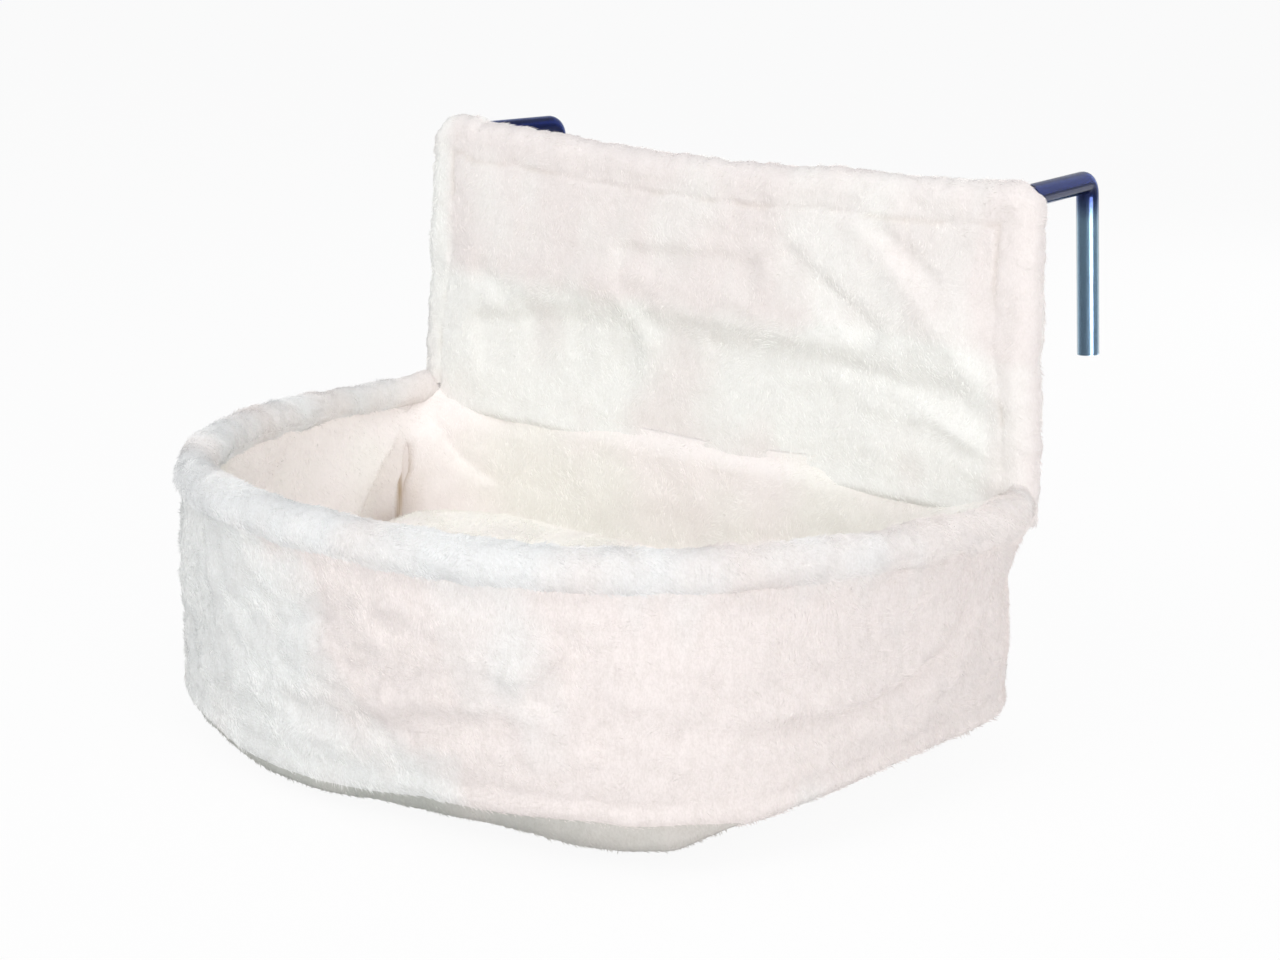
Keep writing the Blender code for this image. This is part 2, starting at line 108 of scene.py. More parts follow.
def ease(value, low, high):
    """0 below low, 1 above high, smooth between them."""
    share = min(max((value - low) / (high - low), 0.0), 1.0)
    return share * share * (3 - 2 * share)


def ripple(spot, size, seed=0.0):
    """Smooth noise about zero, with features of this size."""
    return noise.noise(Vector(spot) / size + Vector((seed, seed * 1.7, seed * 2.3)))


def crumple(spot, size, depth, layers=3, seed=0.0):
    """Noise in layers, each half as large as the one before."""
    total = 0.0
    for layer in range(layers):
        total += ripple(spot, size / 2**layer, seed + 7 * layer) * depth / 2**layer
    return total


def mesh_piece(name, bm, finish):
    """A smooth piece from a bmesh, with its place in its mesh."""
    mesh = bpy.data.meshes.new(name)
    bm.to_mesh(mesh)
    bm.free()
    mesh.shade_smooth()
    mesh.materials.append(finish)
    made = bpy.data.objects.new(name, mesh)
    bpy.context.scene.collection.objects.link(made)
    return made


def baked(helper):
    """The finished mesh of a curve or of a modifier, whose object then goes."""
    bpy.context.scene.collection.objects.link(helper)
    bpy.context.view_layer.update()
    graph = bpy.context.evaluated_depsgraph_get()
    mesh = bpy.data.meshes.new_from_object(helper.evaluated_get(graph))
    bpy.data.objects.remove(helper, do_unlink=True)
    return mesh


def sew_up(bm, gap=0.0000001):
    """Joins the edges that meet and turns every face outward."""
    bmesh.ops.remove_doubles(bm, verts=bm.verts, dist=gap)
    bmesh.ops.recalc_face_normals(bm, faces=bm.faces)


def swept(name, route, radius, sides, capped=False):
    """A closed tube along a route. Each stop of the route is a place and a share of the radius."""
    curve = bpy.data.curves.new(name, "CURVE")
    curve.dimensions = "3D"
    curve.bevel_depth = radius
    curve.bevel_resolution = sides
    curve.use_fill_caps = capped
    spline = curve.splines.new("POLY")
    spline.points.add(len(route) - 1)
    for point, (spot, share) in zip(spline.points, route):
        point.co = (*spot, 1.0)
        point.radius = share
    mesh = baked(bpy.data.objects.new(name + "_line", curve))
    bm = bmesh.new()
    bm.from_mesh(mesh)
    bpy.data.meshes.remove(mesh)
    sew_up(bm, 0.00001)
    return bm


def wrapped_grid(columns, rows):
    """A flat grid that is bent round the tub, with the column and the row of each vertex."""
    bm = bmesh.new()
    bmesh.ops.create_grid(bm, x_segments=columns, y_segments=rows, size=0.5)
    places = []
    for vert in bm.verts:
        column = round((vert.co.x + 0.5) * columns) % columns
        places.append((vert, column, round((vert.co.y + 0.5) * rows)))
    return bm, places


def add_node(nodes, kind, values=(), **settings):
    """A node with its settings, and with values on its named inputs."""
    made = nodes.new(kind)
    for label, value in settings.items():
        setattr(made, label, value)
    for label, value in dict(values).items():
        made.inputs[label].default_value = value
    return made


def new_material(name):
    """A material with its nodes, its links and its shader."""
    made = bpy.data.materials.new(name)
    made.use_nodes = True
    tree = made.node_tree
    return made, tree.nodes, tree.links, tree.nodes["Principled BSDF"]


# Pile

pile_stray = 0.20
shortest_tuft = 0.65
longest_tuft = 1.25


def pile_group():
    """Grows tufts on a cloth: thin closed cones that lie along the cloth's own nap."""
    group = bpy.data.node_groups.new("grow_pile", "GeometryNodeTree")
    wanted = [("Density", "NodeSocketFloat"), ("Length", "NodeSocketFloat"), ("Width", "NodeSocketFloat")]
    group.interface.new_socket("Geometry", in_out="INPUT", socket_type="NodeSocketGeometry")
    for label, kind in wanted:
        group.interface.new_socket(label, in_out="INPUT", socket_type=kind)
    group.interface.new_socket("Seed", in_out="INPUT", socket_type="NodeSocketInt")
    group.interface.new_socket("Geometry", in_out="OUTPUT", socket_type="NodeSocketGeometry")
    nodes = group.nodes
    links = group.links
    given = nodes.new("NodeGroupInput")
    out = nodes.new("NodeGroupOutput")

    def named(label, kind):
        made = add_node(nodes, "GeometryNodeInputNamedAttribute", {"Name": label}, data_type=kind)
        return made.outputs["Attribute"]

    cover = add_node(nodes, "ShaderNodeMath", operation="MULTIPLY")
    links.new(given.outputs["Density"], cover.inputs[0])
    links.new(named("pile_cover", "FLOAT"), cover.inputs[1])
    scatter = nodes.new("GeometryNodeDistributePointsOnFaces")
    links.new(given.outputs["Geometry"], scatter.inputs["Mesh"])
    links.new(cover.outputs["Value"], scatter.inputs["Density"])
    links.new(given.outputs["Seed"], scatter.inputs["Seed"])

    spread = {"Min": (-pile_stray,) * 3, "Max": (pile_stray,) * 3}
    stray = add_node(nodes, "FunctionNodeRandomValue", spread, data_type="FLOAT_VECTOR")
    links.new(given.outputs["Seed"], stray.inputs["Seed"])
    aim = add_node(nodes, "ShaderNodeVectorMath", operation="ADD")
    links.new(named("pile_nap", "FLOAT_VECTOR"), aim.inputs[0])
    links.new(stray.outputs["Value"], aim.inputs[1])
    turn = add_node(nodes, "FunctionNodeAlignRotationToVector", axis="Z")
    links.new(aim.outputs["Vector"], turn.inputs["Vector"])

    tuft = add_node(nodes, "GeometryNodeMeshCone", {"Vertices": 3, "Radius Top": 0.0}, fill_type="NGON")
    links.new(given.outputs["Width"], tuft.inputs["Radius Bottom"])
    links.new(given.outputs["Length"], tuft.inputs["Depth"])

    size = add_node(nodes, "FunctionNodeRandomValue")
    size.inputs["Min"].default_value = shortest_tuft
    size.inputs["Max"].default_value = longest_tuft
    links.new(given.outputs["Seed"], size.inputs["Seed"])
    place_tufts = nodes.new("GeometryNodeInstanceOnPoints")
    links.new(scatter.outputs["Points"], place_tufts.inputs["Points"])
    links.new(tuft.outputs["Mesh"], place_tufts.inputs["Instance"])
    links.new(turn.outputs["Rotation"], place_tufts.inputs["Rotation"])
    links.new(size.outputs[1], place_tufts.inputs["Scale"])
    real = nodes.new("GeometryNodeRealizeInstances")
    links.new(place_tufts.outputs["Instances"], real.inputs["Geometry"])
    links.new(real.outputs["Geometry"], out.inputs["Geometry"])
    return group


pile_maker = pile_group()


def comb(cloth, lie, stand, cover, warm, seed, seam_line_and_painted_shade=None):
    """Stores on a cloth its nap, how thick the pile is, its tint with painted light and shade in it, and
    where seam lines and painted shade darken it.
    """
    mesh = cloth.data
    naps = []
    covers = []
    tints = []
    shades = []
    for vert in mesh.vertices:
        normal = vert.normal
        spot = vert.co
        way = Vector(lie(spot))
        way -= normal * way.dot(normal)
        way.normalize()
        swirl = 1.5 * ripple(spot, 0.045, seed) + 0.9 * ripple(spot, 0.014, seed + 3)
        way.rotate(Matrix.Rotation(swirl * 1.6, 3, normal))
        lift = min(max(stand + 0.55 * ripple(spot, 0.009, seed + 6), 0.05), 0.8)
        naps.extend(normal * lift + way * (1 - lift * 0.6))
        shade = seam_line_and_painted_shade(spot) if seam_line_and_painted_shade else 0.0
        covers.append(cover(spot, normal) * (1 - ease(shade, 0.25, 0.5)))
        tints.append(warm(spot))
        shades.append(shade)
    mesh.attributes.new("pile_nap", "FLOAT_VECTOR", "POINT").data.foreach_set("vector", naps)
    for label, values in (("pile_cover", covers), ("warmth", tints), ("seam_shade", shades)):
        mesh.attributes.new(label, "FLOAT", "POINT").data.foreach_set("value", values)


def grow(cloth, name, density, length, width, seed, finish):
    """The pile of one cloth as a piece of its own."""
    helper = bpy.data.objects.new("pile_helper", cloth.data)
    grower = helper.modifiers.new("pile", "NODES")
    grower.node_group = pile_maker
    values = {"Density": density, "Length": length, "Width": width, "Seed": seed}
    for item in pile_maker.interface.items_tree:
        if item.name in values and item.in_out == "INPUT":
            grower[item.identifier] = values[item.name]
    mesh = baked(helper)
    mesh.name = name
    mesh.materials.clear()
    mesh.materials.append(finish)
    mesh.shade_flat()
    made = bpy.data.objects.new(name, mesh)
    bpy.context.scene.collection.objects.link(made)
    # light passes through single fibres, so the pile doesn't darken the cloth that it grows on
    made.visible_shadow = False
    made.visible_diffuse = False
    return made


# Materials


def new_group(name, inputs, outputs):
    group = bpy.data.node_groups.new(name, "ShaderNodeTree")
    for label, kind, value in inputs:
        socket = group.interface.new_socket(label, in_out="INPUT", socket_type=kind)
        socket.default_value = value
    for label, kind in outputs:
        group.interface.new_socket(label, in_out="OUTPUT", socket_type=kind)
    return group, group.nodes.new("NodeGroupInput"), group.nodes.new("NodeGroupOutput")


def nap_group():
    """The nap of plush: soft patches, clumps and single tips, as a shade and as a height."""
    group, given, out = new_group(
        "plush_nap",
        [
            ("Patch Size", "NodeSocketFloat", 16.0),
            ("Clump Size", "NodeSocketFloat", 260.0),
            ("Tip Size", "NodeSocketFloat", 1100.0),
            ("Cool", "NodeSocketColor", (0.86, 0.87, 0.87, 1)),
            ("Warm", "NodeSocketColor", (0.90, 0.85, 0.83, 1)),
            ("Shade", "NodeSocketFloat", 0.10),
            ("Warmth", "NodeSocketFloat", 0.5),
            ("Seam", "NodeSocketFloat", 0.0),
        ],
        [("Color", "NodeSocketColor"), ("Height", "NodeSocketFloat")],
    )
    nodes = group.nodes
    links = group.links
    where = nodes.new("ShaderNodeTexCoord")
    stretch = add_node(nodes, "ShaderNodeMapping", {"Scale": (1.0, 1.0, 0.55)})
    links.new(where.outputs["Object"], stretch.inputs["Vector"])

    def noise_node(size, detail, rough):
        made = add_node(nodes, "ShaderNodeTexNoise", {"Detail": detail, "Roughness": rough})
        links.new(given.outputs[size], made.inputs["Scale"])
        links.new(stretch.outputs["Vector"], made.inputs["Vector"])
        return made

    patch = noise_node("Patch Size", 2.0, 0.5)
    clump = noise_node("Clump Size", 3.0, 0.6)
    tip = noise_node("Tip Size", 2.0, 0.6)

    ends = {"From Min": 0.32, "From Max": 0.68, "To Min": -0.7, "To Max": 0.7}
    spread = add_node(nodes, "ShaderNodeMapRange", ends)
    links.new(patch.outputs["Fac"], spread.inputs["Value"])
    # the stored warmth carries painted light and shade; the patch noise adds random patches of tone
    warmer = add_node(nodes, "ShaderNodeMath", operation="ADD", use_clamp=True)
    links.new(spread.outputs["Result"], warmer.inputs[0])
    links.new(given.outputs["Warmth"], warmer.inputs[1])
    tint = add_node(nodes, "ShaderNodeMix", data_type="RGBA")
    links.new(warmer.outputs["Value"], tint.inputs["Factor"])
    links.new(given.outputs["Cool"], tint.inputs["A"])
    links.new(given.outputs["Warm"], tint.inputs["B"])

    both = add_node(nodes, "ShaderNodeMath", {1: 0.6}, operation="MULTIPLY_ADD")
    links.new(tip.outputs["Fac"], both.inputs[0])
    half = add_node(nodes, "ShaderNodeMath", {1: 0.4}, operation="MULTIPLY")
    links.new(clump.outputs["Fac"], half.inputs[0])
    links.new(half.outputs["Value"], both.inputs[2])

    ends = {"From Min": 0.35, "From Max": 0.60, "To Min": 1.0, "To Max": 0.0}
    dark = add_node(nodes, "ShaderNodeMapRange", ends)
    links.new(both.outputs["Value"], dark.inputs["Value"])
    weight = add_node(nodes, "ShaderNodeMath", operation="MULTIPLY")
    links.new(dark.outputs["Result"], weight.inputs[0])
    links.new(given.outputs["Shade"], weight.inputs[1])
    shade = add_node(
        nodes, "ShaderNodeMix", {"B": (0.62, 0.60, 0.56, 1)}, data_type="RGBA", blend_type="MULTIPLY"
    )
    links.new(weight.outputs["Value"], shade.inputs["Factor"])
    links.new(tint.outputs["Result"], shade.inputs["A"])
    # painted shade: a dark brown multiplied in along the seam lines and deep in the lining's loose corner
    seam_and_painted_shade_mix = add_node(
        nodes, "ShaderNodeMix", {"B": (0.42, 0.30, 0.14, 1)}, data_type="RGBA", blend_type="MULTIPLY"
    )
    links.new(given.outputs["Seam"], seam_and_painted_shade_mix.inputs["Factor"])
    links.new(shade.outputs["Result"], seam_and_painted_shade_mix.inputs["A"])
    links.new(seam_and_painted_shade_mix.outputs["Result"], out.inputs["Color"])
    links.new(both.outputs["Value"], out.inputs["Height"])
    return group


nap = nap_group()


def plush(name, cool, warm, shade):
    """A plush from its cool and its warm tint. shade is how dark the gaps in its nap are."""
    made, nodes, links, shader = new_material(name)
    shader.inputs["Roughness"].default_value = 0.95
    shader.inputs["Specular IOR Level"].default_value = 0.05
    shader.inputs["Sheen Weight"].default_value = 0.08
    shader.inputs["Sheen Roughness"].default_value = 0.6
    pile = nodes.new("ShaderNodeGroup")
    pile.node_tree = nap
    pile.inputs["Cool"].default_value = (*cool, 1)
    pile.inputs["Warm"].default_value = (*warm, 1)
    pile.inputs["Shade"].default_value = shade
    for label, socket in (("warmth", "Warmth"), ("seam_shade", "Seam")):
        stored = add_node(nodes, "ShaderNodeAttribute", attribute_name=label)
        links.new(stored.outputs["Fac"], pile.inputs[socket])
    rise = add_node(nodes, "ShaderNodeBump", {"Strength": 0.35, "Distance": 0.0012})
    links.new(pile.outputs["Color"], shader.inputs["Base Color"])
    links.new(pile.outputs["Height"], rise.inputs["Height"])
    links.new(rise.outputs["Normal"], shader.inputs["Normal"])
    return made


plush_outer = plush("plush_outer", (0.80, 0.81, 0.80), (0.81, 0.755, 0.735), 0.30)
plush_rim = plush("plush_rim", (0.775, 0.785, 0.785), (0.785, 0.74, 0.72), 0.26)
plush_panel = plush("plush_panel", (0.89, 0.895, 0.865), (0.835, 0.785, 0.765), 0.18)
plush_inner = plush("plush_inner", (0.915, 0.90, 0.855), (0.93, 0.885, 0.865), 0.12)
# painted shade: the underside is the same plush as the wall, in a dark olive-grey copy that stands in for
# the shade under the tub
plush_under_painted_shade = plush("plush_under_painted_shade", (0.45, 0.46, 0.43), (0.56, 0.54, 0.51), 0.30)


# Soft forms

top_edge = (
    (-0.2010, 0.1655), (-0.1956, 0.1677), (-0.1846, 0.1692), (-0.1729, 0.1692), (-0.1675, 0.1660),
    (-0.1613, 0.1652), (-0.1385, 0.1650), (-0.1198, 0.1646), (-0.1021, 0.1636), (-0.0796, 0.1618),
    (-0.0505, 0.1601), (-0.0236, 0.1600), (0.0041, 0.1597), (0.0369, 0.1596), (0.0600, 0.1612),
    (0.0785, 0.1626), (0.0988, 0.1622), (0.1230, 0.1617), (0.1522, 0.1632), (0.1750, 0.1645),
    (0.2010, 0.1660),
)
side_edge = (
    (-0.012, 0.2098), (0.004, 0.2108), (0.029, 0.2100), (0.054, 0.2082), (0.076, 0.2060),
    (0.091, 0.2066), (0.116, 0.2050), (0.140, 0.2040), (0.161, 0.2026), (0.175, 0.2010),
)
seam_line = ((-0.012, 0.193), (0.044, 0.190), (0.081, 0.1825), (0.126, 0.1805), (0.143, 0.181))
seam_top = 0.0215


def along(table, value):
    xs = [pair[0] for pair in table]
    ys = [pair[1] for pair in table]
    return float(np.interp(value, xs, ys))


# Creases and ridges of the panel's front: where they start and end, depth, and how far the cloth
# slopes above and below the line
panel_creases = (
    ((-0.1570, 0.0475), (-0.1200, 0.0530), 0.0042, 0.0075, 0.036),
    ((-0.1200, 0.0530), (-0.0860, 0.0560), 0.0056, 0.0120, 0.036),
    ((-0.0860, 0.0560), (-0.0520, 0.0555), 0.0066, 0.0130, 0.036),
    ((-0.0390, 0.0610), (0.0120, 0.0560), 0.0044, 0.0110, 0.034),
    ((0.0120, 0.0560), (0.0994, 0.0550), 0.0042, 0.0105, 0.032),
    ((0.0994, 0.0550), (0.1664, 0.0500), 0.0036, 0.0090, 0.012),
    ((0.1664, 0.0500), (0.1820, 0.0420), 0.0026, 0.0080, 0.012),
    ((-0.0532, 0.1043), (-0.0273, 0.1032), 0.0026, 0.0050, 0.012),
    ((-0.0273, 0.1032), (0.0141, 0.1070), 0.0024, 0.0050, 0.012),
    ((0.0141, 0.1070), (0.0346, 0.1044), 0.0020, 0.0050, 0.010),
    ((0.0578, 0.1155), (0.0819, 0.1002), 0.0026, 0.0050, 0.010),
    ((0.0819, 0.1002), (0.1133, 0.0812), 0.0026, 0.0050, 0.010),
    ((0.1140, 0.1334), (0.1446, 0.1113), 0.0022, 0.0060, 0.008),
    ((-0.1575, 0.0812), (-0.1384, 0.0688), 0.0020, 0.0050, 0.008),
    ((0.0929, 0.0382), (0.1163, 0.0301), 0.0014, 0.0070, 0.008),
    ((0.1163, 0.0301), (0.1497, 0.0323), 0.0014, 0.0070, 0.008),
    ((0.1497, 0.0323), (0.1758, 0.0218), 0.0012, 0.0070, 0.008),
    ((-0.1900, 0.0030), (0.1930, 0.0050), 0.0012, 0.0100, 0.009),
)
panel_ridges = (
    ((-0.0540, 0.0760), (-0.0340, 0.0520), 0.0022, 0.0060, 0.006),
    ((-0.1500, 0.0640), (-0.0992, 0.0830), 0.0016, 0.0140, 0.006),
    ((-0.0992, 0.0830), (-0.0600, 0.0800), 0.0016, 0.0140, 0.006),
    ((-0.0250, 0.0760), (0.0994, 0.0700), 0.0014, 0.0140, 0.006),
    ((0.0912, 0.1406), (0.1263, 0.1123), 0.0015, 0.0060, 0.007),
    ((0.1263, 0.1123), (0.1534, 0.0867), 0.0015, 0.0060, 0.007),
    ((0.1534, 0.0867), (0.1720, 0.0650), 0.0012, 0.0060, 0.007),
    ((0.0924, 0.0482), (0.1303, 0.0474), 0.0015, 0.0070, 0.007),
    ((0.1303, 0.0474), (0.1754, 0.0283), 0.0016, 0.0070, 0.007),
    ((0.0232, 0.0860), (0.0438, 0.0768), 0.0014, 0.0060, 0.007),
    ((-0.0450, 0.0914), (-0.0400, 0.0910), 0.0018, 0.0070, 0.007),
    ((-0.1440, 0.1551), (-0.1028, 0.1483), 0.0012, 0.0060, 0.006),
)
slot_place = 0.1875
slot_half_width = 0.0089
slot_foot = 0.1505


def fold_depth(folds, x, z):
    """How far these folds draw the cloth in at a place on it."""
    total = 0.0
    for (x0, z0), (x1, z1), most, above, below in folds:
        length = math.hypot(x1 - x0, z1 - z0)
        along_it = ((x - x0) * (x1 - x0) + (z - z0) * (z1 - z0)) / length
        across = ((z - z0) * (x1 - x0) - (x - x0) * (z1 - z0)) / length
        beyond = max(-along_it, along_it - length, 0.0)
        width = above if across > 0 else below
        fade = (across / width) ** 2 + (beyond / min(above, below)) ** 2
        total += (most * math.exp(-fade)) ** 3
    return total ** (1 / 3)


def edge_share(edge, radius):
    """How far a rounded edge has come up at a distance from its rim, 0 to 1."""
    return math.sqrt(max(1 - (1 - min(max(edge / radius, 0.0), 1.0)) ** 2, 0.0))


def panel_front(x, z, edge, top):
    """Distance of the front cloth from the panel's middle plane."""
    line = along(seam_line, z)
    inside = min(line - abs(x), top - seam_top - z)
    rounded = edge_share(edge, 0.0115)
    depth = (panel_half_thickness - 0.0008) * (0.06 + 0.94 * rounded)
    field = ease(inside, 0.0, 0.022)
    slack = 0.0006 + fold_depth(panel_ridges, x, z) - fold_depth(panel_creases, x, z)
    depth += slack * ease(inside, -0.002, 0.012)
    depth += crumple((x, 0.0, z), 0.050, 0.0016, 3, 3.0) * field
    depth += 0.0030 * bump(z, 0.088, 0.030) * field
    depth += crumple((x, 0.0, z), 0.028, 0.0016, 3, 5.0) * rounded * (1 - field)
    depth += 0.0004 * ripple((x, 0.0, z), 0.0055, 7.0) * rounded
    drawn = 0.7 + 0.6 * ripple((x, 0.0, z), 0.030, 8.0)
    depth -= 0.0010 * drawn * math.exp(-((inside / 0.0014) ** 2)) * rounded
    return depth


def build_panel():
    """The padded back panel as one stuffed body, front and back."""
    columns = 230
    rows = 110
    bm = bmesh.new()
    bmesh.ops.create_grid(bm, x_segments=columns, y_segments=rows, size=1.0)
    back = {vert: vert.co.copy() for vert in bm.verts}
    made = bmesh.ops.extrude_face_region(bm, geom=bm.faces[:], use_keep_orig=True)
    front = {}
    for vert in made["geom"]:
        if isinstance(vert, bmesh.types.BMVert):
            front[vert] = vert.co.copy()

    def spot(u, v, forward):
        # lines lie closer together near the edges
        u = math.copysign(1 - (1 - abs(u)) ** 1.25, u)
        v = 0.5 + 0.5 * math.copysign(1 - (1 - abs(v)) ** 1.25, v)
        guess = blend(panel_foot, 0.165, v)
        x = u * along(side_edge, guess)
        top = along(top_edge, x) + 0.0002 + 0.0013 * ripple((x, 0, 0), 0.007, 2.0)
        z = blend(panel_foot, top, v)
        width = along(side_edge, z) - 0.0028 + 0.0013 * ripple((0, 0, z), 0.007, 4.0)
        x = u * width
        side = width - abs(x)
        above = top - z
        foot = z - panel_foot
        edge = min(side, above, foot * 1.8)
        corner = 0.014
        over_x = corner - side
        over_z = corner - above
        if over_x > 0 and over_z > 0:
            pull = 1 - max(over_x, over_z) / math.hypot(over_x, over_z)
            x -= math.copysign(over_x * pull, x)
            z -= over_z * pull
        if forward:
            return place(x, -panel_front(x, z, edge, top), z)
        depth = (panel_half_thickness - 0.0004) * (0.06 + 0.94 * edge_share(edge, 0.0115))
        depth += crumple((x, 0.0, z), 0.060, 0.0010, 2, 9.0) * edge_share(edge, 0.0115)
        depth = min(depth, 0.0115)
        slot = ease(slot_half_width + 0.0012 - abs(abs(x) - slot_place), 0.0, 0.0024)
        slot *= ease(z, slot_foot - 0.0012, slot_foot + 0.0012)
        return place(x, blend(depth, min(depth, 0.0006), slot), z)

    for vert, at in back.items():
        vert.co = spot(at.x, at.y, False)
    for vert, at in front.items():
        vert.co = spot(at.x, at.y, True)
    bmesh.ops.recalc_face_normals(bm, faces=bm.faces)
    return mesh_piece("back_panel", bm, plush_panel)


def superellipse(half_width, depth, power, angle):
    c = math.cos(angle)
    s = max(math.sin(angle), 0.0)
    x = half_width * math.copysign(abs(c) ** (2 / power), c)
    return x, -depth * s ** (2 / power)


def rim_points():
    """The rim's middle line, from its left end in the panel round to its right end."""
    start = math.asin((rim_start / hoop_depth) ** (hoop_power / 2))
    front = []
    fine = 400
    for i in range(fine + 1):
        angle = blend(math.pi - start, start, i / fine)
        x, y = superellipse(hoop_half_width, hoop_depth, hoop_power, angle)
        front.append(Vector((x, y, -y * hoop_rise)))
    ends = []
    for side, corner in ((-1, front[0]), (1, front[-1])):
        first = corner + Vector((0, 0.028, -0.0006))
        second = Vector((side * 0.1969, 0, -0.006))
        last = Vector((side * 0.1954, 0, 0.020))
        bend = []
        for i in range(1, 15):
            t = i / 20
            u = 1 - t
            bend.append(corner * u**3 + first * 3 * u * u * t + second * 3 * u * t * t + last * t**3)
        ends.append(bend)
    return ends[0][::-1] + front + ends[1]


def even_points(points, count):
    """Points at equal spacing along a line."""
    steps = [(b - a).length for a, b in zip(points, points[1:])]
    reach = np.concatenate([[0.0], np.cumsum(steps)])
    wanted = np.linspace(0.0, reach[-1], count)
    columns = [np.interp(wanted, reach, [p[k] for p in points]) for k in range(3)]
    return [Vector(spot) for spot in zip(*columns)]


deepest_pucker = 0.0018
highest_pucker = 0.0014


def build_rim():
    """The stuffed rim: a plush tube that thins towards its left end and puckers where it bends."""
    stops = even_points(rim_points(), 420)
    route = []
    for i, at in enumerate(stops):
        share = i / (len(stops) - 1)
        left_end = ease(0.20 - share, 0.0, 0.14)
        thin = 1 - 0.23 * left_end * (1 - 0.5 * ease(0.03 - share, 0.0, 0.03))
        thin -= 0.10 * bump(share, 0.26, 0.08) + 0.12 * ease(share, 0.93, 0.98)
        rise = 0.0028 * ease(share, 0.93, 0.98) - 0.0012 * ease(0.20 - share, 0.0, 0.08)
        rise += 0.0010 * ease(0.03 - share, 0.0, 0.03) - 0.0006 * bump(share, 0.065, 0.045)
        thin -= 0.34 * ease(share, 0.976, 0.998)
        shift = 0.0014 * bump(share, 0.27, 0.10)
        thick = thin * (1 + 0.05 * ripple((share, 0, 0), 0.035, 1.0))
        route.append((place(at.x + shift, at.y, at.z + rise), thick))
    bm = swept("rim", route, rim_radius - 0.0008, 14, capped=True)
    bm.normal_update()
    moves = []
    for vert in bm.verts:
        shift = crumple(vert.co, 0.026, 0.0014, 3, 11.0)
        pucker = ripple((vert.co.x, vert.co.y, vert.co.z * 0.15), 0.011, 21.0)
        shift += 0.0005 * pucker + 0.0006 * ripple(vert.co, 0.005, 23.0)
        moves.append(vert.normal * min(max(shift, -deepest_pucker), highest_pucker))
    for vert, move in zip(bm.verts, moves):
        vert.co += move
    return mesh_piece("rim", bm, plush_rim)


def tub_outline(half_width, depth, power, rear, corner, count):
    """Points seen from above, from the rear middle round the right side, front and left side."""
    straight = corner - rear
    start = math.asin((straight / depth) ** (power / 2))
    line = []
    for i in range(161):
        x, y = superellipse(half_width, depth, power, blend(start, math.pi - start, i / 160))
        line.append((x, y))
    side = line[0][0]
    left = []
    right = []
    for i in range(1, 25):
        a = math.pi / 2 * i / 24
        left.append((-side + corner - corner * math.cos(a), rear - corner + corner * math.sin(a)))
        right.append((side - corner + corner * math.cos(a), rear - corner + corner * math.sin(a)))
    line = [(0.0, rear)] + right[::-1] + line + left + [(0.0, rear)]
    return even_points([Vector((x, y, 0)) for x, y in line], count + 1)[:count]


# Height of the wall's bottom seam by the direction seen from the tub's middle, in degrees
seam_heights = (
    (-180, -0.1050), (-150, -0.1075), (-138, -0.1082), (-129, -0.1100), (-122, -0.1122),
    (-117, -0.1155), (-113, -0.1170), (-106, -0.1188), (-96, -0.1180), (-85, -0.1135),
    (-75, -0.1082), (-64, -0.1068), (-55, -0.1052), (-49, -0.1050), (-45, -0.1072),
    (-40, -0.1074), (-37, -0.1072), (-33, -0.1084), (-29, -0.1096), (-25, -0.1080),
    (-22, -0.1060), (-18, -0.1046), (-12, -0.1026), (-5, -0.1006), (4, -0.1004), (10, -0.1010),
    (16, -0.1026), (22, -0.1024), (40, -0.0995), (90, -0.0985), (140, -0.0990), (180, -0.1050),
)
# The cloth under the tub hangs lower or higher than its plain slope, and is pushed out by the board
foot_drops = (
    (-180, 0.0), (-150, 0.0), (-125, 0.001), (-108, -0.0025), (-97, -0.002), (-88, 0.000),
    (-73, 0.0035), (-64, 0.0050), (-52, 0.002), (-45, 0.0), (-38, 0.001), (-30, 0.006),
    (-10, 0.0095), (30, 0.0095), (90, 0.004), (180, 0.0),
)
foot_pushes = (
    (-180, 0.0), (-117, 0.0), (-105, 0.004), (-95, 0.004), (-85, 0.0), (-58, 0.0), (-47, 0.009),
    (-39, 0.015), (-33, 0.010), (-26, 0.0), (180, 0.0),
)


# Creases and ridges of the wall's cloth: direction and height of both ends, depth, reach above
# and below the line
wall_creases = (
    ((-108, -0.040), (-97, -0.034), 0.0022, 0.012, 0.009),
    ((-97, -0.034), (-86, -0.026), 0.0024, 0.012, 0.009),
    ((-86, -0.026), (-73, -0.023), 0.0020, 0.010, 0.010),
    ((-99, -0.082), (-81, -0.077), 0.0022, 0.009, 0.009),
    ((-81, -0.077), (-62, -0.062), 0.0024, 0.009, 0.009),
    ((-69, -0.058), (-60, -0.048), 0.0018, 0.006, 0.008),
    ((-52, -0.024), (-56, -0.046), 0.0046, 0.008, 0.010),
    ((-48, -0.050), (-49, -0.066), 0.0024, 0.008, 0.008),
    ((-38, -0.065), (-23, -0.069), 0.0018, 0.008, 0.006),
    ((-23, -0.069), (-12, -0.071), 0.0026, 0.008, 0.006),
    ((-12, -0.071), (-2, -0.064), 0.0028, 0.008, 0.006),
    ((-2, -0.064), (5, -0.056), 0.0028, 0.008, 0.006),
    ((5, -0.056), (10, -0.038), 0.0026, 0.007, 0.006),
    ((-35, -0.044), (-34, -0.054), 0.0018, 0.007, 0.007),
    ((14, -0.048), (16, -0.058), 0.0016, 0.005, 0.005),
    ((14, -0.076), (16, -0.084), 0.0016, 0.005, 0.005),
    ((-128, -0.072), (-121, -0.040), 0.0020, 0.012, 0.012),
    ((-10, -0.004), (-10, -0.028), 0.0008, 0.004, 0.004),
    ((60, -0.030), (110, -0.052), 0.0016, 0.012, 0.008),
)
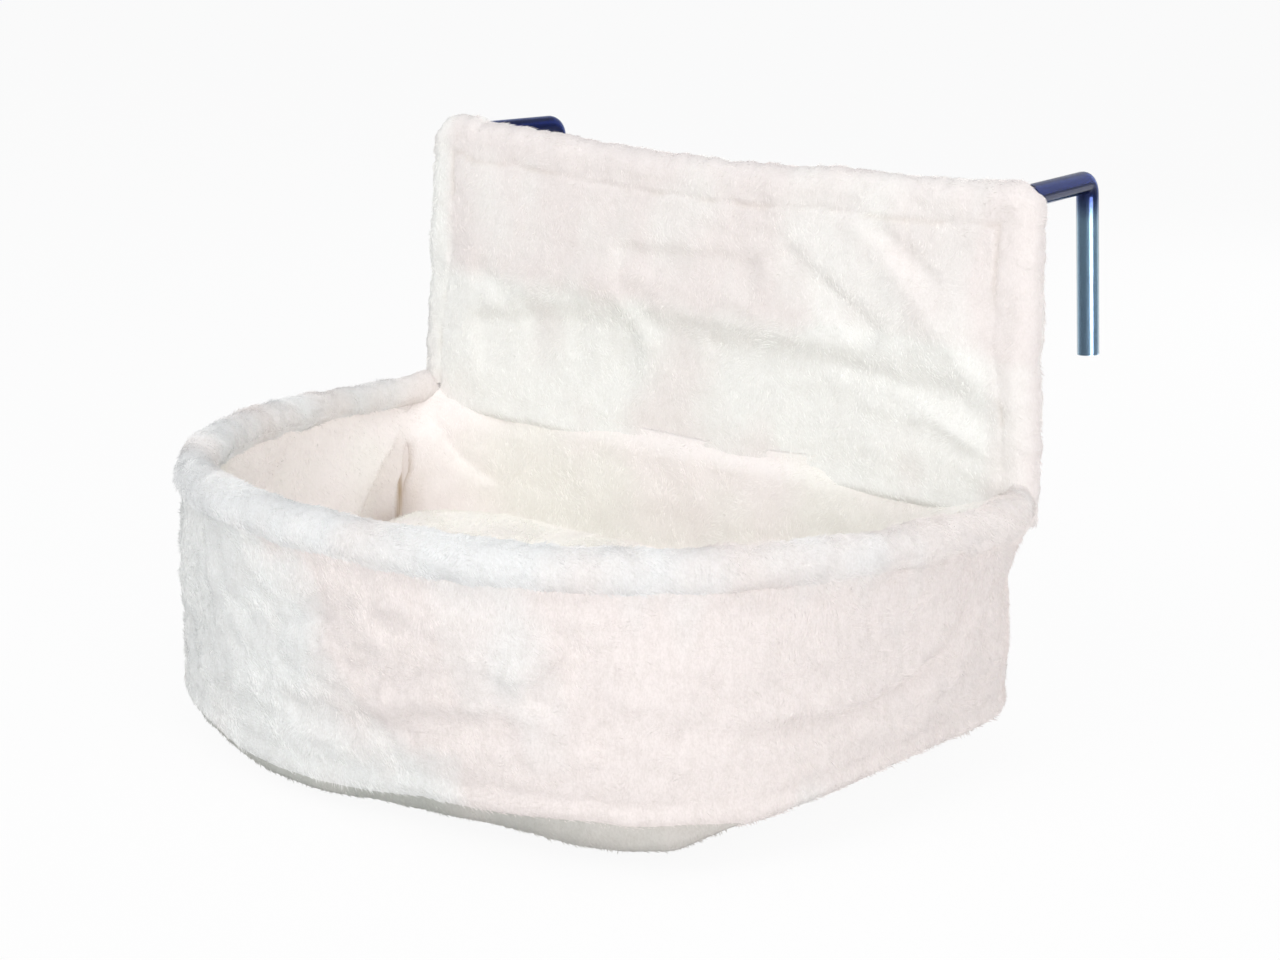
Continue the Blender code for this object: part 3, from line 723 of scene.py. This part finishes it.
wall_ridges = (
    ((-116, -0.018), (-88, -0.009), 0.0016, 0.010, 0.008),
    ((-88, -0.009), (-64, -0.022), 0.0018, 0.010, 0.010),
    ((-121, -0.082), (-96, -0.071), 0.0020, 0.010, 0.008),
    ((-96, -0.071), (-80, -0.067), 0.0018, 0.009, 0.008),
    ((-80, -0.067), (-61, -0.051), 0.0020, 0.009, 0.008),
    ((-60, -0.046), (-55, -0.026), 0.0034, 0.010, 0.007),
    ((-55, -0.026), (-50, -0.018), 0.0022, 0.009, 0.007),
    ((-31, -0.058), (-16, -0.061), 0.0017, 0.009, 0.007),
    ((-16, -0.061), (-2, -0.056), 0.0020, 0.009, 0.007),
    ((-2, -0.056), (4, -0.044), 0.0020, 0.009, 0.007),
)
degree_reach = 0.0042


def direction(x, y):
    return math.degrees(math.atan2(y + tub_middle, x))


def rear_rise(x, y):
    """The cloths stand a little higher where the rim thins towards its ends."""
    corner = 0.0050 * ease(abs(x), 0.13, 0.18) * ease(y, -0.110, -0.050)
    left = 0.0026 * bump(x, -0.125, 0.055)
    right = 0.0035 * ease(x, 0.02, 0.09) + 0.0020 * ease(x, 0.08, 0.12)
    return max(corner, (left + right) * ease(y, -0.030, -0.010))


def rear_corner(x, y, share):
    """Where the top of each rear corner is drawn out to the end of the rim."""
    return bump(direction(abs(x), y), 31.0, 15.0) * (1 - ease(share, 0.0, 0.30))


deepest_fold = 0.0046
wall_corner_reach = 0.0120
wall_rear_limit = 0.0118
lining_corner_reach = 0.0150
lining_rear_rise = 0.0095
most_outward = 0.0012

# shares of the wall's height at which its cloth's hidden back has a row, from the foot up
hidden_rows = (0.88, 0.77, 0.66, 0.55, 0.44, 0.33, 0.22, 0.14, 0.08, 0.04, 0.01)


def round_wall(folds):
    """Folds of the wall with their directions turned into a length along it."""
    return [((a * degree_reach, b), (c * degree_reach, d), *rest) for (a, b), (c, d), *rest in folds]


def seam_height(x, y):
    return along(seam_heights, direction(x, y))


# The lining's loose rear corner: direction of each line by height
rear_roll = (
    (-0.066, 0.0004), (-0.050, 0.0028), (-0.036, 0.0070), (-0.024, 0.0108), (-0.016, 0.0129),
    (-0.010, 0.0146), (-0.006, 0.0142), (-0.003, 0.0128), (0.0, 0.0108),
)
flap_edge = (
    (-0.080, 171.0), (-0.070, 170.0), (-0.051, 166.3), (-0.0394, 163.4), (-0.0295, 159.7),
    (-0.0209, 157.6), (-0.0123, 155.8), (0.0, 154.8),
)
slit_line = (
    (-0.080, 158.0), (-0.0661, 157.6), (-0.053, 157.1), (-0.0472, 156.3), (-0.0356, 156.1), (0.0, 155.0),
)
roll_edge = (
    (-0.0537, 141.6), (-0.0464, 144.7), (-0.0391, 147.6), (-0.0289, 149.9), (-0.0201, 151.0),
    (-0.0099, 152.1), (0.0, 152.5),
)


def ring(name, section, finish):
    """A closed band round the tub. section gives one point for a column and a row of the band."""
    bm, places = wrapped_grid(section.columns, section.rows)
    for vert, column, row in places:
        vert.co = section(column, row % section.rows)
    sew_up(bm)
    if bm.calc_volume(signed=True) < 0:
        bmesh.ops.reverse_faces(bm, faces=bm.faces)
    return mesh_piece(name, bm, finish)


class Band:
    """Outlines of the tub at each share of its wall's height, kept once they are worked out."""

    def __init__(self, columns, rows, corners):
        self.columns = columns
        self.corners = corners
        self.profile = rows
        self.rows = len(rows) - 1
        self.lines = {}

    def outline(self, share, inset):
        key = (share, inset)
        if key not in self.lines:
            self.lines[key] = tub_outline(
                blend(wall_top_half_width, wall_seam_half_width, share) - inset,
                blend(wall_top_depth, wall_seam_depth, share) - inset,
                blend(wall_top_power, wall_seam_power, share),
                wall_rear - inset,
                blend(self.corners[0], self.corners[1], share) - inset,
                self.columns,
            )
        return self.lines[key]


class OuterWall(Band):
    """The outer wall's cloth: down its outside, round its rolled foot and up its hidden back."""

    def __init__(self):
        rows = [(i / 56, 0.0, 0.0) for i in range(57)]
        rows += [(1.0, 0.0005, -0.0011), (1.0, 0.0014, -0.0016), (1.0, 0.0024, -0.0011)]
        rows += [(0.98, 0.0044, 0.0)] + [(share, 0.0062, 0.0) for share in hidden_rows]
        self.creases = round_wall(wall_creases)
        self.ridges = round_wall(wall_ridges)
        super().__init__(720, rows, (0.080, 0.055))

    def __call__(self, column, row):
        share, inset, drop = self.profile[row]
        x, y, _ = self.outline(share, inset)[column]
        out = Vector((x, y + tub_middle, 0)).normalized()
        top = -y * hoop_rise - rim_radius * 0.58 + rear_rise(x, y)
        z = blend(top, seam_height(x, y), share)
        swell = 0.0020 * math.sin(math.pi * share) ** 0.8 - 0.0012
        swell += 0.0020 * ease(0.09 - share, 0.0, 0.09)
        swell += 0.0014 * bump(share, 0.975, 0.030) - 0.0007 * bump(share, 0.915, 0.022)
        if inset < 0.0022:
            swell += max(self.folds(x, y, z) * math.sin(math.pi * share) ** 0.6, -deepest_fold)
        swell += wall_corner_reach * rear_corner(x, y, share)
        x += out.x * swell
        y = min(y + out.y * swell, wall_rear_limit)
        return place(x, y, z + drop)

    def folds(self, x, y, z):
        """Slack of the cloth: long slanting creases and soft dents."""
        depth = crumple((x, y, z * 1.8), 0.060, 0.0022, 3, 31.0)
        depth += 0.0008 * ripple((x * 0.6, y * 0.6, z * 3.0), 0.020, 37.0)
        heading = direction(x, y)
        rough = 0.4 + 0.6 * ease(-heading, 50, 100)
        mottle = 0.0015 * ripple((x, y, z), 0.011, 39.0) + 0.0008 * ripple((x, y, z), 0.006, 33.0)
        depth += rough * mottle
        at = heading * degree_reach
        return depth + fold_depth(self.ridges, at, z) - 1.25 * fold_depth(self.creases, at, z)


class Lining(Band):
    """The lining: down its inside to the floor cushion and up its hidden back."""

    def __init__(self):
        rows = [(i / 48, lining_inset + wall_cloth) for i in range(49)]
        rows += [(0.97, lining_inset), (0.66, lining_inset), (0.33, lining_inset), (0.02, lining_inset)]
        super().__init__(1000, rows, (wall_rear_corner, wall_rear_corner))

    def __call__(self, column, row):
        share, inset = self.profile[row]
        x, y, _ = self.outline(share, inset)[column]
        top = -y * hoop_rise - rim_radius * 0.55 + lining_rear_rise * ease(y, -0.026, -0.006)
        top += rear_rise(x, y)
        z = blend(top, seam_height(x, y) + 0.012, share)
        inward = 0.0
        if inset > lining_inset:
            inward = self.loose_corner(x, y, z) + self.slack(x, y, z, ease(share, 0.0, 0.15))
        inward -= lining_corner_reach * rear_corner(x, y, share)
        towards = Vector((-x, -tub_middle - y, 0)).normalized()
        return place(x + towards.x * inward, y + towards.y * inward, z)

    def loose_corner(self, x, y, z):
        """The rear left corner: a flap down the side, the gusset behind it, a slit and a soft roll."""
        heading = direction(x, y) % 360
        if not 125 < heading < 220:
            return 0.0
        edge, slit, roll = (along(line, z) for line in (flap_edge, slit_line, roll_edge))
        full = ease(-z, 0.002, 0.050)
        high = 0.0100 * full
        if heading > edge:
            rise = high * bump(heading, edge, 13.0)
        elif heading > slit:
            back = (edge - heading) / (edge - slit)
            rise = high * (1 - 0.34 * ease(back, 0.0, 0.20) - 0.72 * back)
        else:
            turn = min((slit - heading) / (slit - roll), 1.0)
            rise = 0.0050 * ease(-z, 0.004, 0.030) * math.sin(math.pi * turn) ** 0.8
            rise -= 0.0012 * full * max(1 - turn * 4, 0.0)
        low = ease(z, -0.064, -0.050)
        rise -= 0.0008 * bump(heading, roll, 1.6) * ease(-z, 0.008, 0.020) * low
        return rise - 0.0110 * bump(heading, slit, 0.60) * ease(-z, 0.026, 0.038)

    def slack(self, x, y, z, share):
        depth = max(crumple((x, y, z), 0.050, 0.0030, 3, 51.0) + 0.0006, -most_outward) * share
        # the rear lining comes forward to the panel's foot and falls back below it
        return depth + ease(y, -0.030, -0.004) * along(rear_roll, z) * (1 + 0.16 * ease(x, 0.02, 0.10))


def foot_height(y):
    return -foot_drop + (y + 0.283) * foot_tilt


bottom_cloth = 0.0018
bottom_side_rows = 20
lowest_sag = 0.0065
cushion_seam = -0.078
cushion_top = -0.0605
cushion_lift = 0.0062
cushion_foot_rows = 10
cushion_side_rows = 14
tub_centre = Vector((0.0, -0.14, 0.0))
# closed rings end this share of the way to the centre, so that no face is empty
closing_share = 0.999


def build_underside():
    """The cloth under the tub, from the wall's seam to the flat foot, in the darker plush that paints the
    shade under it.
    """
    columns = 480
    closing_rows = 6
    rows = bottom_side_rows + closing_rows
    lines = []
    for row in range(rows + 1):
        inward = 1 - math.cos(min(row / bottom_side_rows, 1.0) * math.pi / 2)
        closing = max(row - bottom_side_rows, 0) / closing_rows
        lines.append(
            tub_outline(
                wall_seam_half_width - 0.0012 - 0.028 * inward,
                wall_seam_depth - 0.0012 - 0.009 * inward,
                wall_seam_power,
                wall_rear - 0.0012 - 0.015 * inward,
                blend(wall_rear_corner, 0.080, inward),
                columns,
            )
        )
        if closing:
            lines[-1] = [spot.lerp(tub_centre, closing * closing_share) for spot in lines[-1]]
    bm, places = wrapped_grid(columns, rows)
    for vert, column, row in places:
        x, y, _ = lines[row][column]
        fall = math.sin(min(row / bottom_side_rows, 1.0) * math.pi / 2)
        heading = direction(x, y)
        base = blend(seam_height(x, y) + 0.0008, foot_height(y), fall)
        outward = Vector((x, y + tub_middle, 0)).normalized()
        push = along(foot_pushes, heading) * fall * min((rows - row) / closing_rows, 1.0)
        near = ease(Vector((x, y + tub_middle)).length, 0.03, 0.12)
        drop = along(foot_drops, heading) + crumple((x, y, 0.0), 0.05, 0.0014, 3, 71.0)
        z = base + drop * fall * near
        vert.co = place(x + outward.x * push, y + outward.y * push, max(z, -foot_drop - lowest_sag))
    sew_up(bm)
    bmesh.ops.solidify(bm, geom=bm.faces[:], thickness=bottom_cloth)
    bmesh.ops.recalc_face_normals(bm, faces=bm.faces)
    return mesh_piece("tub_bottom", bm, plush_under_painted_shade)


def build_cushion():
    """The floor cushion, crowned in the middle, with a puffed hump in its rear left corner."""
    columns = 360
    rows = 60
    inset = lining_inset + wall_cloth + 0.0016
    full = tub_outline(
        blend(wall_top_half_width, wall_seam_half_width, 0.8) - inset,
        blend(wall_top_depth, wall_seam_depth, 0.8) - inset,
        blend(wall_top_power, wall_seam_power, 0.8),
        wall_rear - inset,
        wall_rear_corner - inset,
        columns,
    )
    foot = tub_outline(0.176, 0.275, wall_seam_power, -0.010, 0.070, columns)
    low = cushion_foot_rows
    seam = low + cushion_side_rows
    bm, places = wrapped_grid(columns, rows)
    for vert, column, row in places:
        if row <= low:
            closing = 1 - row / low
            at = foot[column].lerp(tub_centre, closing * closing_share)
            z = foot_height(at.y) + cushion_lift
        elif row <= seam:
            side = (row - low) / cushion_side_rows
            out = math.sin(side * math.pi / 2)
            at = foot[column].lerp(full[column], out)
            z = blend(foot_height(at.y) + cushion_lift, cushion_seam, side**1.2)
        else:
            inward = ((row - seam) / (rows - seam)) ** 1.15
            at = full[column].lerp(tub_centre, inward * closing_share)
            rise = 1 - (1 - min(inward * 3.2, 1.0)) ** 2.2
            crown = cushion_top + 0.0045 * math.sin(math.pi / 2 * inward)
            z = blend(cushion_seam, crown, rise)
            z += crumple((at.x, at.y, 0.0), 0.060, 0.0022, 3, 61.0) * rise
            z += 0.0060 * bump(at.x, -0.174, 0.026) * bump(at.y, -0.068, 0.034) * rise
        if at.x < -0.10:
            # keeps clear of the lining's loose corner
            at = at.copy()
            at.x += 0.0090 * bump(at.y, -0.084, 0.034) * ease(-at.x, 0.12, 0.18)
        vert.co = place(at.x, at.y, z)
    sew_up(bm)
    return mesh_piece("cushion", bm, plush_inner)


panel = build_panel()
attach(panel, "bed")
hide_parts("panel_front_cover", "panel_back_cover", "panel_wadding")
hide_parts("upright_foam_left", "upright_foam_right")

rim = build_rim()
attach(rim, "bed")
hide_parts("rim_cover", "rim_foam")

wall = ring("tub_wall", OuterWall(), plush_outer)
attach(wall, "bed")
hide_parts("tub_outer_wall", "tub_wall_wadding")

lining = ring("tub_lining_cloth", Lining(), plush_inner)
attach(lining, "bed")
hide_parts("tub_lining")

bottom = build_underside()
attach(bottom, "bed")
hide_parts("tub_underside", "floor_board")

cushion = build_cushion()
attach(cushion, "bed")
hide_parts("floor_cushion")


# Nap of each cloth


def all_over(spot, normal):
    return 1.0


def down(spot):
    return (0.25, 0.1, -1.0)


def across(spot):
    return (1.0, 0.3, -0.35)


def outward(spot):
    """Away from the tub's middle."""
    return Vector((spot.x, spot.y - bed_y + tub_middle, 0.0))


def outside_only(spot, normal):
    return 1.0 if outward(spot).dot(normal) > -0.02 else 0.0


def inside_only(spot, normal):
    return 1.0 if outward(spot).dot(normal) < 0.02 else 0.0


def up_only(spot, normal):
    return 1.0 if normal.z > 0.0 else 0.0


def front_mostly(spot, normal):
    return 1.0 if normal.y < 0.3 else 0.7


def left_side(spot, normal):
    return outside_only(spot, normal) if spot.x < 0 else 0.0


def right_side(spot, normal):
    return outside_only(spot, normal) if spot.x >= 0 else 0.0


# random patches of tone, and painted light: the warm tint of the light falling on the wall towards its
# right side and its top
def wall_patches_and_painted_light_tint(spot):
    heading = direction(spot.x, spot.y - bed_y)
    if heading > 90:
        return 0.4
    patchy = 9 * ripple(spot, 0.040, 71.0) + 5 * ripple(spot, 0.014, 72.0)
    return ease(heading + patchy + 280 * (spot.z - bed_z + 0.04), -93, -79)


# painted light: the rim takes the warm tint of the light falling on it towards its front right
def rim_painted_light_tint(spot):
    heading = direction(spot.x, spot.y - bed_y)
    if heading > 90 or heading < -150:
        return 0.5
    return 0.2 + 0.7 * ease(heading, -55, -15)


# painted shade: the darker warm tint on the panel's upper part and its right border, the lighter cool
# tint low on its front; the back takes a middle tint
def panel_painted_shade_tint(spot):
    if spot.y > bed_y:
        return 0.5
    z = spot.z - bed_z
    high = 0.95 * ease(z, 0.068, 0.086) * (1 - 0.8 * ease(-spot.x, 0.178, 0.190))
    return 0.05 + high + 0.7 * ease(spot.x, 0.165, 0.190)


# painted light and shade: pinkish where the lining is lit, at its left end and near its top, and a creamy
# tint for its shade lower down and on the cushion
def lining_painted_light_and_shade_tint(spot):
    z = spot.z - bed_z
    return 0.10 + 0.85 * ease(-spot.x, 0.165, 0.190) + 0.4 * ease(z, -0.030, -0.012)


# painted light: the underside turns lighter and pinker from its front right corner round the right side,
# where light reaches it
def bottom_painted_light(spot):
    return 0.1 + 0.9 * ease(direction(spot.x, spot.y - bed_y), -43, -37)


def stitch_shade(spot):
    """The sewn line shows as a broken, slightly darker line."""
    x = spot.x
    z = spot.z - bed_z
    if spot.y > bed_y:
        return 0.0
    inside = min(along(seam_line, z) - abs(x), along(top_edge, x) - seam_top - z)
    broken = ease(ripple((x, 0.0, z), 0.016, 81.0), -0.25, 0.30)
    return 0.13 * broken * bump(inside, 0.0, 0.0016)


def corner_shade(spot):
    """Painted shade in the depth of the lining's loose corner, where little light comes in."""
    z = spot.z - bed_z
    heading = direction(spot.x, spot.y - bed_y) % 360
    if not 135 < heading < 190:
        return 0.0
    edge = along(flap_edge, z)
    slit = along(slit_line, z)
    shade = 0.85 * bump(heading, slit - 0.1, 0.50) * ease(-z, 0.028, 0.046)
    shade = max(shade, 0.16 * bump(heading, slit - 1.6, 1.8) * ease(-z, 0.036, 0.060))
    behind = ease(heading, slit - 1.0, slit + 1.0) * ease(edge + 0.6 - heading, 0.0, 1.6)
    shade = max(shade, behind * (0.02 * ease(-z, 0.010, 0.050) + 0.16 * ease(-z, 0.064, 0.074)))
    return shade


def no_nap(spot, normal):
    return 1.0 if normal.z < 0.2 else 0.0


thin = 0.00025
comb(wall, across, 0.20, outside_only, wall_patches_and_painted_light_tint, 101)
for label, part in (("left", left_side), ("right", right_side)):
    covers = [part(vert.co, vert.normal) for vert in wall.data.vertices]
    wall.data.attributes["pile_cover"].data.foreach_set("value", covers)
    grow(wall, "wall_" + label + "_pile", 520000, 0.0030, thin, 1, plush_outer)
comb(rim, across, 0.24, all_over, rim_painted_light_tint, 103)
grow(rim, "rim_pile", 760000, 0.0027, thin, 2, plush_rim)
comb(panel, down, 0.20, front_mostly, panel_painted_shade_tint, 105, stitch_shade)
grow(panel, "panel_pile", 330000, 0.0026, thin, 3, plush_panel)
comb(lining, down, 0.22, inside_only, lining_painted_light_and_shade_tint, 107, corner_shade)
grow(lining, "lining_pile", 330000, 0.0028, thin, 4, plush_inner)
comb(cushion, across, 0.28, up_only, lining_painted_light_and_shade_tint, 109)
grow(cushion, "cushion_pile", 400000, 0.0028, thin, 5, plush_inner)
comb(bottom, across, 0.30, no_nap, bottom_painted_light, 111)
grow(bottom, "bottom_pile", 260000, 0.0022, thin, 6, plush_under_painted_shade)
for made in bpy.context.scene.objects:
    if made.name.endswith("_pile"):
        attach(made, "bed")


# Hooks


def steel_finish():
    made, nodes, links, shader = new_material("bright_steel")
    shader.inputs["Metallic"].default_value = 1.0
    shader.inputs["Base Color"].default_value = (0.55, 0.57, 0.60, 1)
    where = nodes.new("ShaderNodeTexCoord")
    drawn = add_node(nodes, "ShaderNodeMapping", {"Scale": (900.0, 900.0, 20.0)})
    streak = add_node(nodes, "ShaderNodeTexNoise", {"Scale": 1.0, "Detail": 3.0})
    gloss = add_node(nodes, "ShaderNodeMapRange", {"To Min": 0.22, "To Max": 0.28})
    links.new(where.outputs["Object"], drawn.inputs["Vector"])
    links.new(drawn.outputs["Vector"], streak.inputs["Vector"])
    links.new(streak.outputs["Fac"], gloss.inputs["Value"])
    links.new(gloss.outputs["Result"], shader.inputs["Roughness"])
    return made


def sleeve_finish():
    made, nodes, links, shader = new_material("clear_blue_sleeve")
    shader.inputs["Metallic"].default_value = 0.0
    shader.inputs["Transmission Weight"].default_value = 1.0
    shader.inputs["IOR"].default_value = 1.33
    shader.inputs["Specular Tint"].default_value = (0.55, 0.64, 1.0, 1)
    where = nodes.new("ShaderNodeTexCoord")
    haze = add_node(nodes, "ShaderNodeTexNoise", {"Scale": 120.0, "Detail": 4.0})
    gloss = add_node(nodes, "ShaderNodeMapRange", {"To Min": 0.04, "To Max": 0.12})
    # painted reflection: the length over the arm and elbow is a deeper blue, for the dark surroundings it
    # reflects, and the leg a lighter grey-blue, for the lit surroundings it reflects
    split = nodes.new("ShaderNodeSeparateXYZ")
    reach = {"From Min": 0.256, "From Max": 0.276}
    height = add_node(nodes, "ShaderNodeMapRange", reach, interpolation_type="SMOOTHSTEP")
    painted_reflection_blues = {"A": (0.47, 0.59, 0.68, 1), "B": (0.07, 0.10, 0.27, 1)}
    tint = add_node(nodes, "ShaderNodeMix", painted_reflection_blues, data_type="RGBA")
    links.new(where.outputs["Object"], haze.inputs["Vector"])
    links.new(haze.outputs["Fac"], gloss.inputs["Value"])
    links.new(gloss.outputs["Result"], shader.inputs["Roughness"])
    links.new(where.outputs["Object"], split.inputs["Vector"])
    links.new(split.outputs["Z"], height.inputs["Value"])
    links.new(height.outputs["Result"], tint.inputs["Factor"])
    links.new(tint.outputs["Result"], shader.inputs["Base Color"])
    return made


steel = steel_finish()
sleeve = sleeve_finish()

hook_base_x = 0.196553
hook_lean = math.radians(3.3)
hook_swivel = math.radians(4.0)
hook_leg_splay = math.radians(1.6)
hook_top = 0.157 / math.cos(hook_lean)
hook_reach = 0.089
hook_elbow = 0.008
hook_leg_run = 0.0855
hook_foot = 0.024
sleeve_start = 0.009
tube_radius = 0.005
sleeve_radius = 0.006
tube_wall = 0.0007


def hook_route(side, sleeved):
    """The middle line of a hook, or of the part of it that the sleeve covers."""
    bend = 12
    route = []
    if sleeved:
        route.append(Vector((0, sleeve_start, hook_top)))
    else:
        route.append(Vector((0, 0, hook_foot)))
        for i in range(bend + 1):
            a = math.pi / 2 * i / bend
            fall = hook_elbow * (1 - math.sin(a))
            route.append(Vector((0, hook_elbow * (1 - math.cos(a)), hook_top - fall)))
    for i in range(bend + 1):
        a = math.pi / 2 * i / bend
        fall = hook_elbow * (1 - math.cos(a))
        route.append(Vector((0, hook_reach - hook_elbow * (1 - math.sin(a)), hook_top - fall)))
    splay = side * hook_leg_run * math.tan(hook_leg_splay)
    route.append(route[-1] + Vector((splay, 0, -hook_leg_run)))
    lean = Matrix.Rotation(-side * hook_lean, 4, "Y") @ Matrix.Rotation(side * hook_swivel, 4, "Z")
    moved = [lean @ spot for spot in route]
    return [place(spot.x + side * hook_base_x, spot.y, spot.z) for spot in moved]


def hook_tube(name, route, radius, finish):
    """A round tube with its wall, along a route."""
    bm = swept(name, [(spot, 1.0) for spot in route], radius, 10)
    bmesh.ops.solidify(bm, geom=bm.faces[:], thickness=tube_wall)
    bmesh.ops.recalc_face_normals(bm, faces=bm.faces)
    made = mesh_piece(name, bm, finish)
    made.data.set_sharp_from_angle(angle=math.radians(50))
    return made


for side, word in ((-1, "left"), (1, "right")):
    rod = hook_tube("steel_tube_" + word, hook_route(side, False), tube_radius, steel)
    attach(rod, "hook_" + word)
    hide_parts("hook_rod_" + word)
    cover = hook_tube("clear_sleeve_" + word, hook_route(side, True), sleeve_radius, sleeve)
    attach(cover, "hook_" + word)
    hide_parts("hook_sleeve_" + word)
for slot in frame["nodes"]["rim_hoop"].material_slots:
    slot.material = steel


# Floor, light and camera


# the floor lies this far under the foot, clear of the hanging cloth
floor_gap = 0.0090


def build_floor():
    bm = bmesh.new()
    bmesh.ops.create_grid(bm, x_segments=1, y_segments=1, size=40.0)
    bmesh.ops.translate(bm, vec=(0, 0, -floor_gap), verts=bm.verts)
    made, nodes, links, shader = new_material("floor_white")
    shader.inputs["Base Color"].default_value = (0.82, 0.82, 0.82, 1)
    shader.inputs["Roughness"].default_value = 0.9
    shader.inputs["Specular IOR Level"].default_value = 0.0
    floor = mesh_piece("floor", bm, made)
    glow = nodes.new("ShaderNodeEmission")
    glow.inputs["Color"].default_value = (1, 1, 1, 1)
    glow.inputs["Strength"].default_value = 1.0
    path = nodes.new("ShaderNodeLightPath")
    seen = add_node(nodes, "ShaderNodeMath", {1: 0.93}, operation="MULTIPLY")
    either = add_node(nodes, "ShaderNodeMath", operation="MAXIMUM")
    links.new(path.outputs["Is Camera Ray"], either.inputs[0])
    links.new(path.outputs["Is Transmission Ray"], either.inputs[1])
    links.new(either.outputs["Value"], seen.inputs[0])
    mix = nodes.new("ShaderNodeMixShader")
    links.new(seen.outputs["Value"], mix.inputs["Fac"])
    links.new(shader.outputs["BSDF"], mix.inputs[1])
    links.new(glow.outputs["Emission"], mix.inputs[2])
    links.new(mix.outputs["Shader"], nodes["Material Output"].inputs["Surface"])


def build_world():
    """Soft light all round, and plain white where the camera looks past the bed."""
    world = bpy.data.worlds.new("studio")
    bpy.context.scene.world = world
    world.use_nodes = True
    nodes = world.node_tree.nodes
    links = world.node_tree.links
    light = nodes["Background"]
    light.inputs["Color"].default_value = (0.93, 0.95, 1.0, 1)
    light.inputs["Strength"].default_value = 0.46
    shown = nodes.new("ShaderNodeBackground")
    shown.inputs["Color"].default_value = (1, 1, 1, 1)
    shown.inputs["Strength"].default_value = 1.0
    path = nodes.new("ShaderNodeLightPath")
    mix = nodes.new("ShaderNodeMixShader")
    either = add_node(nodes, "ShaderNodeMath", operation="MAXIMUM")
    links.new(path.outputs["Is Camera Ray"], either.inputs[0])
    links.new(path.outputs["Is Transmission Ray"], either.inputs[1])
    links.new(either.outputs["Value"], mix.inputs["Fac"])
    links.new(light.outputs["Background"], mix.inputs[1])
    links.new(shown.outputs["Background"], mix.inputs[2])
    links.new(mix.outputs["Shader"], nodes["World Output"].inputs["Surface"])


def area_light(name, spot, size, power, colour=(1, 1, 1)):
    light = bpy.data.lights.new(name, "AREA")
    light.shape = "RECTANGLE"
    light.size = size[0]
    light.size_y = size[1]
    light.energy = power
    light.color = colour
    lamp = bpy.data.objects.new(name, light)
    bpy.context.scene.collection.objects.link(lamp)
    lamp.location = spot
    aim = Vector((0, 0, 0.12)) - Vector(spot)
    lamp.rotation_euler = aim.to_track_quat("-Z", "Y").to_euler()
    return lamp


def build_camera():
    turn = math.radians(36.11)
    lift = math.radians(15.03)
    roll = math.radians(1.4)
    back = Vector((math.sin(turn) * math.cos(lift), -math.cos(turn) * math.cos(lift), math.sin(lift)))
    right = (-back).cross(Vector((0, 0, 1))).normalized()
    up = right.cross(-back).normalized()
    across = right * math.cos(roll) + up * math.sin(roll)
    upward = up * math.cos(roll) - right * math.sin(roll)
    camera = bpy.data.objects.new("camera", bpy.data.cameras.new("camera"))
    bpy.context.scene.collection.objects.link(camera)
    camera.data.sensor_width = 36.0
    camera.data.lens = 64.14
    matrix = Matrix((across, upward, back)).transposed().to_4x4()
    matrix.translation = place(0.7108, -1.0369, 0.3132)
    camera.matrix_world = matrix
    bpy.context.scene.camera = camera


build_floor()
build_world()
area_light("key", (-0.3, -1.9, 1.7), (1.6, 1.6), 21.0, (1.0, 1.0, 0.99))
area_light("fill", (1.95, -1.4, 1.0), (1.6, 1.6), 31.0, (1.0, 0.965, 0.945))
area_light("back", (0.4, 1.7, 0.8), (1.2, 1.2), 9.0).visible_glossy = False
area_light("top", (0.1, -0.2, 2.4), (2.0, 2.0), 6.0)
# tall screens that only polished surfaces show
for name, spot, size, power in (
    ("side_screen", (1.90, -0.55, 0.45), (1.3, 1.5), 80.0),
    ("front_screen", (-0.40, -1.60, 0.50), (1.5, 1.5), 14.0),
):
    area_light(name, spot, size, power).visible_diffuse = False
build_camera()
bpy.context.scene.view_settings.view_transform = "Standard"
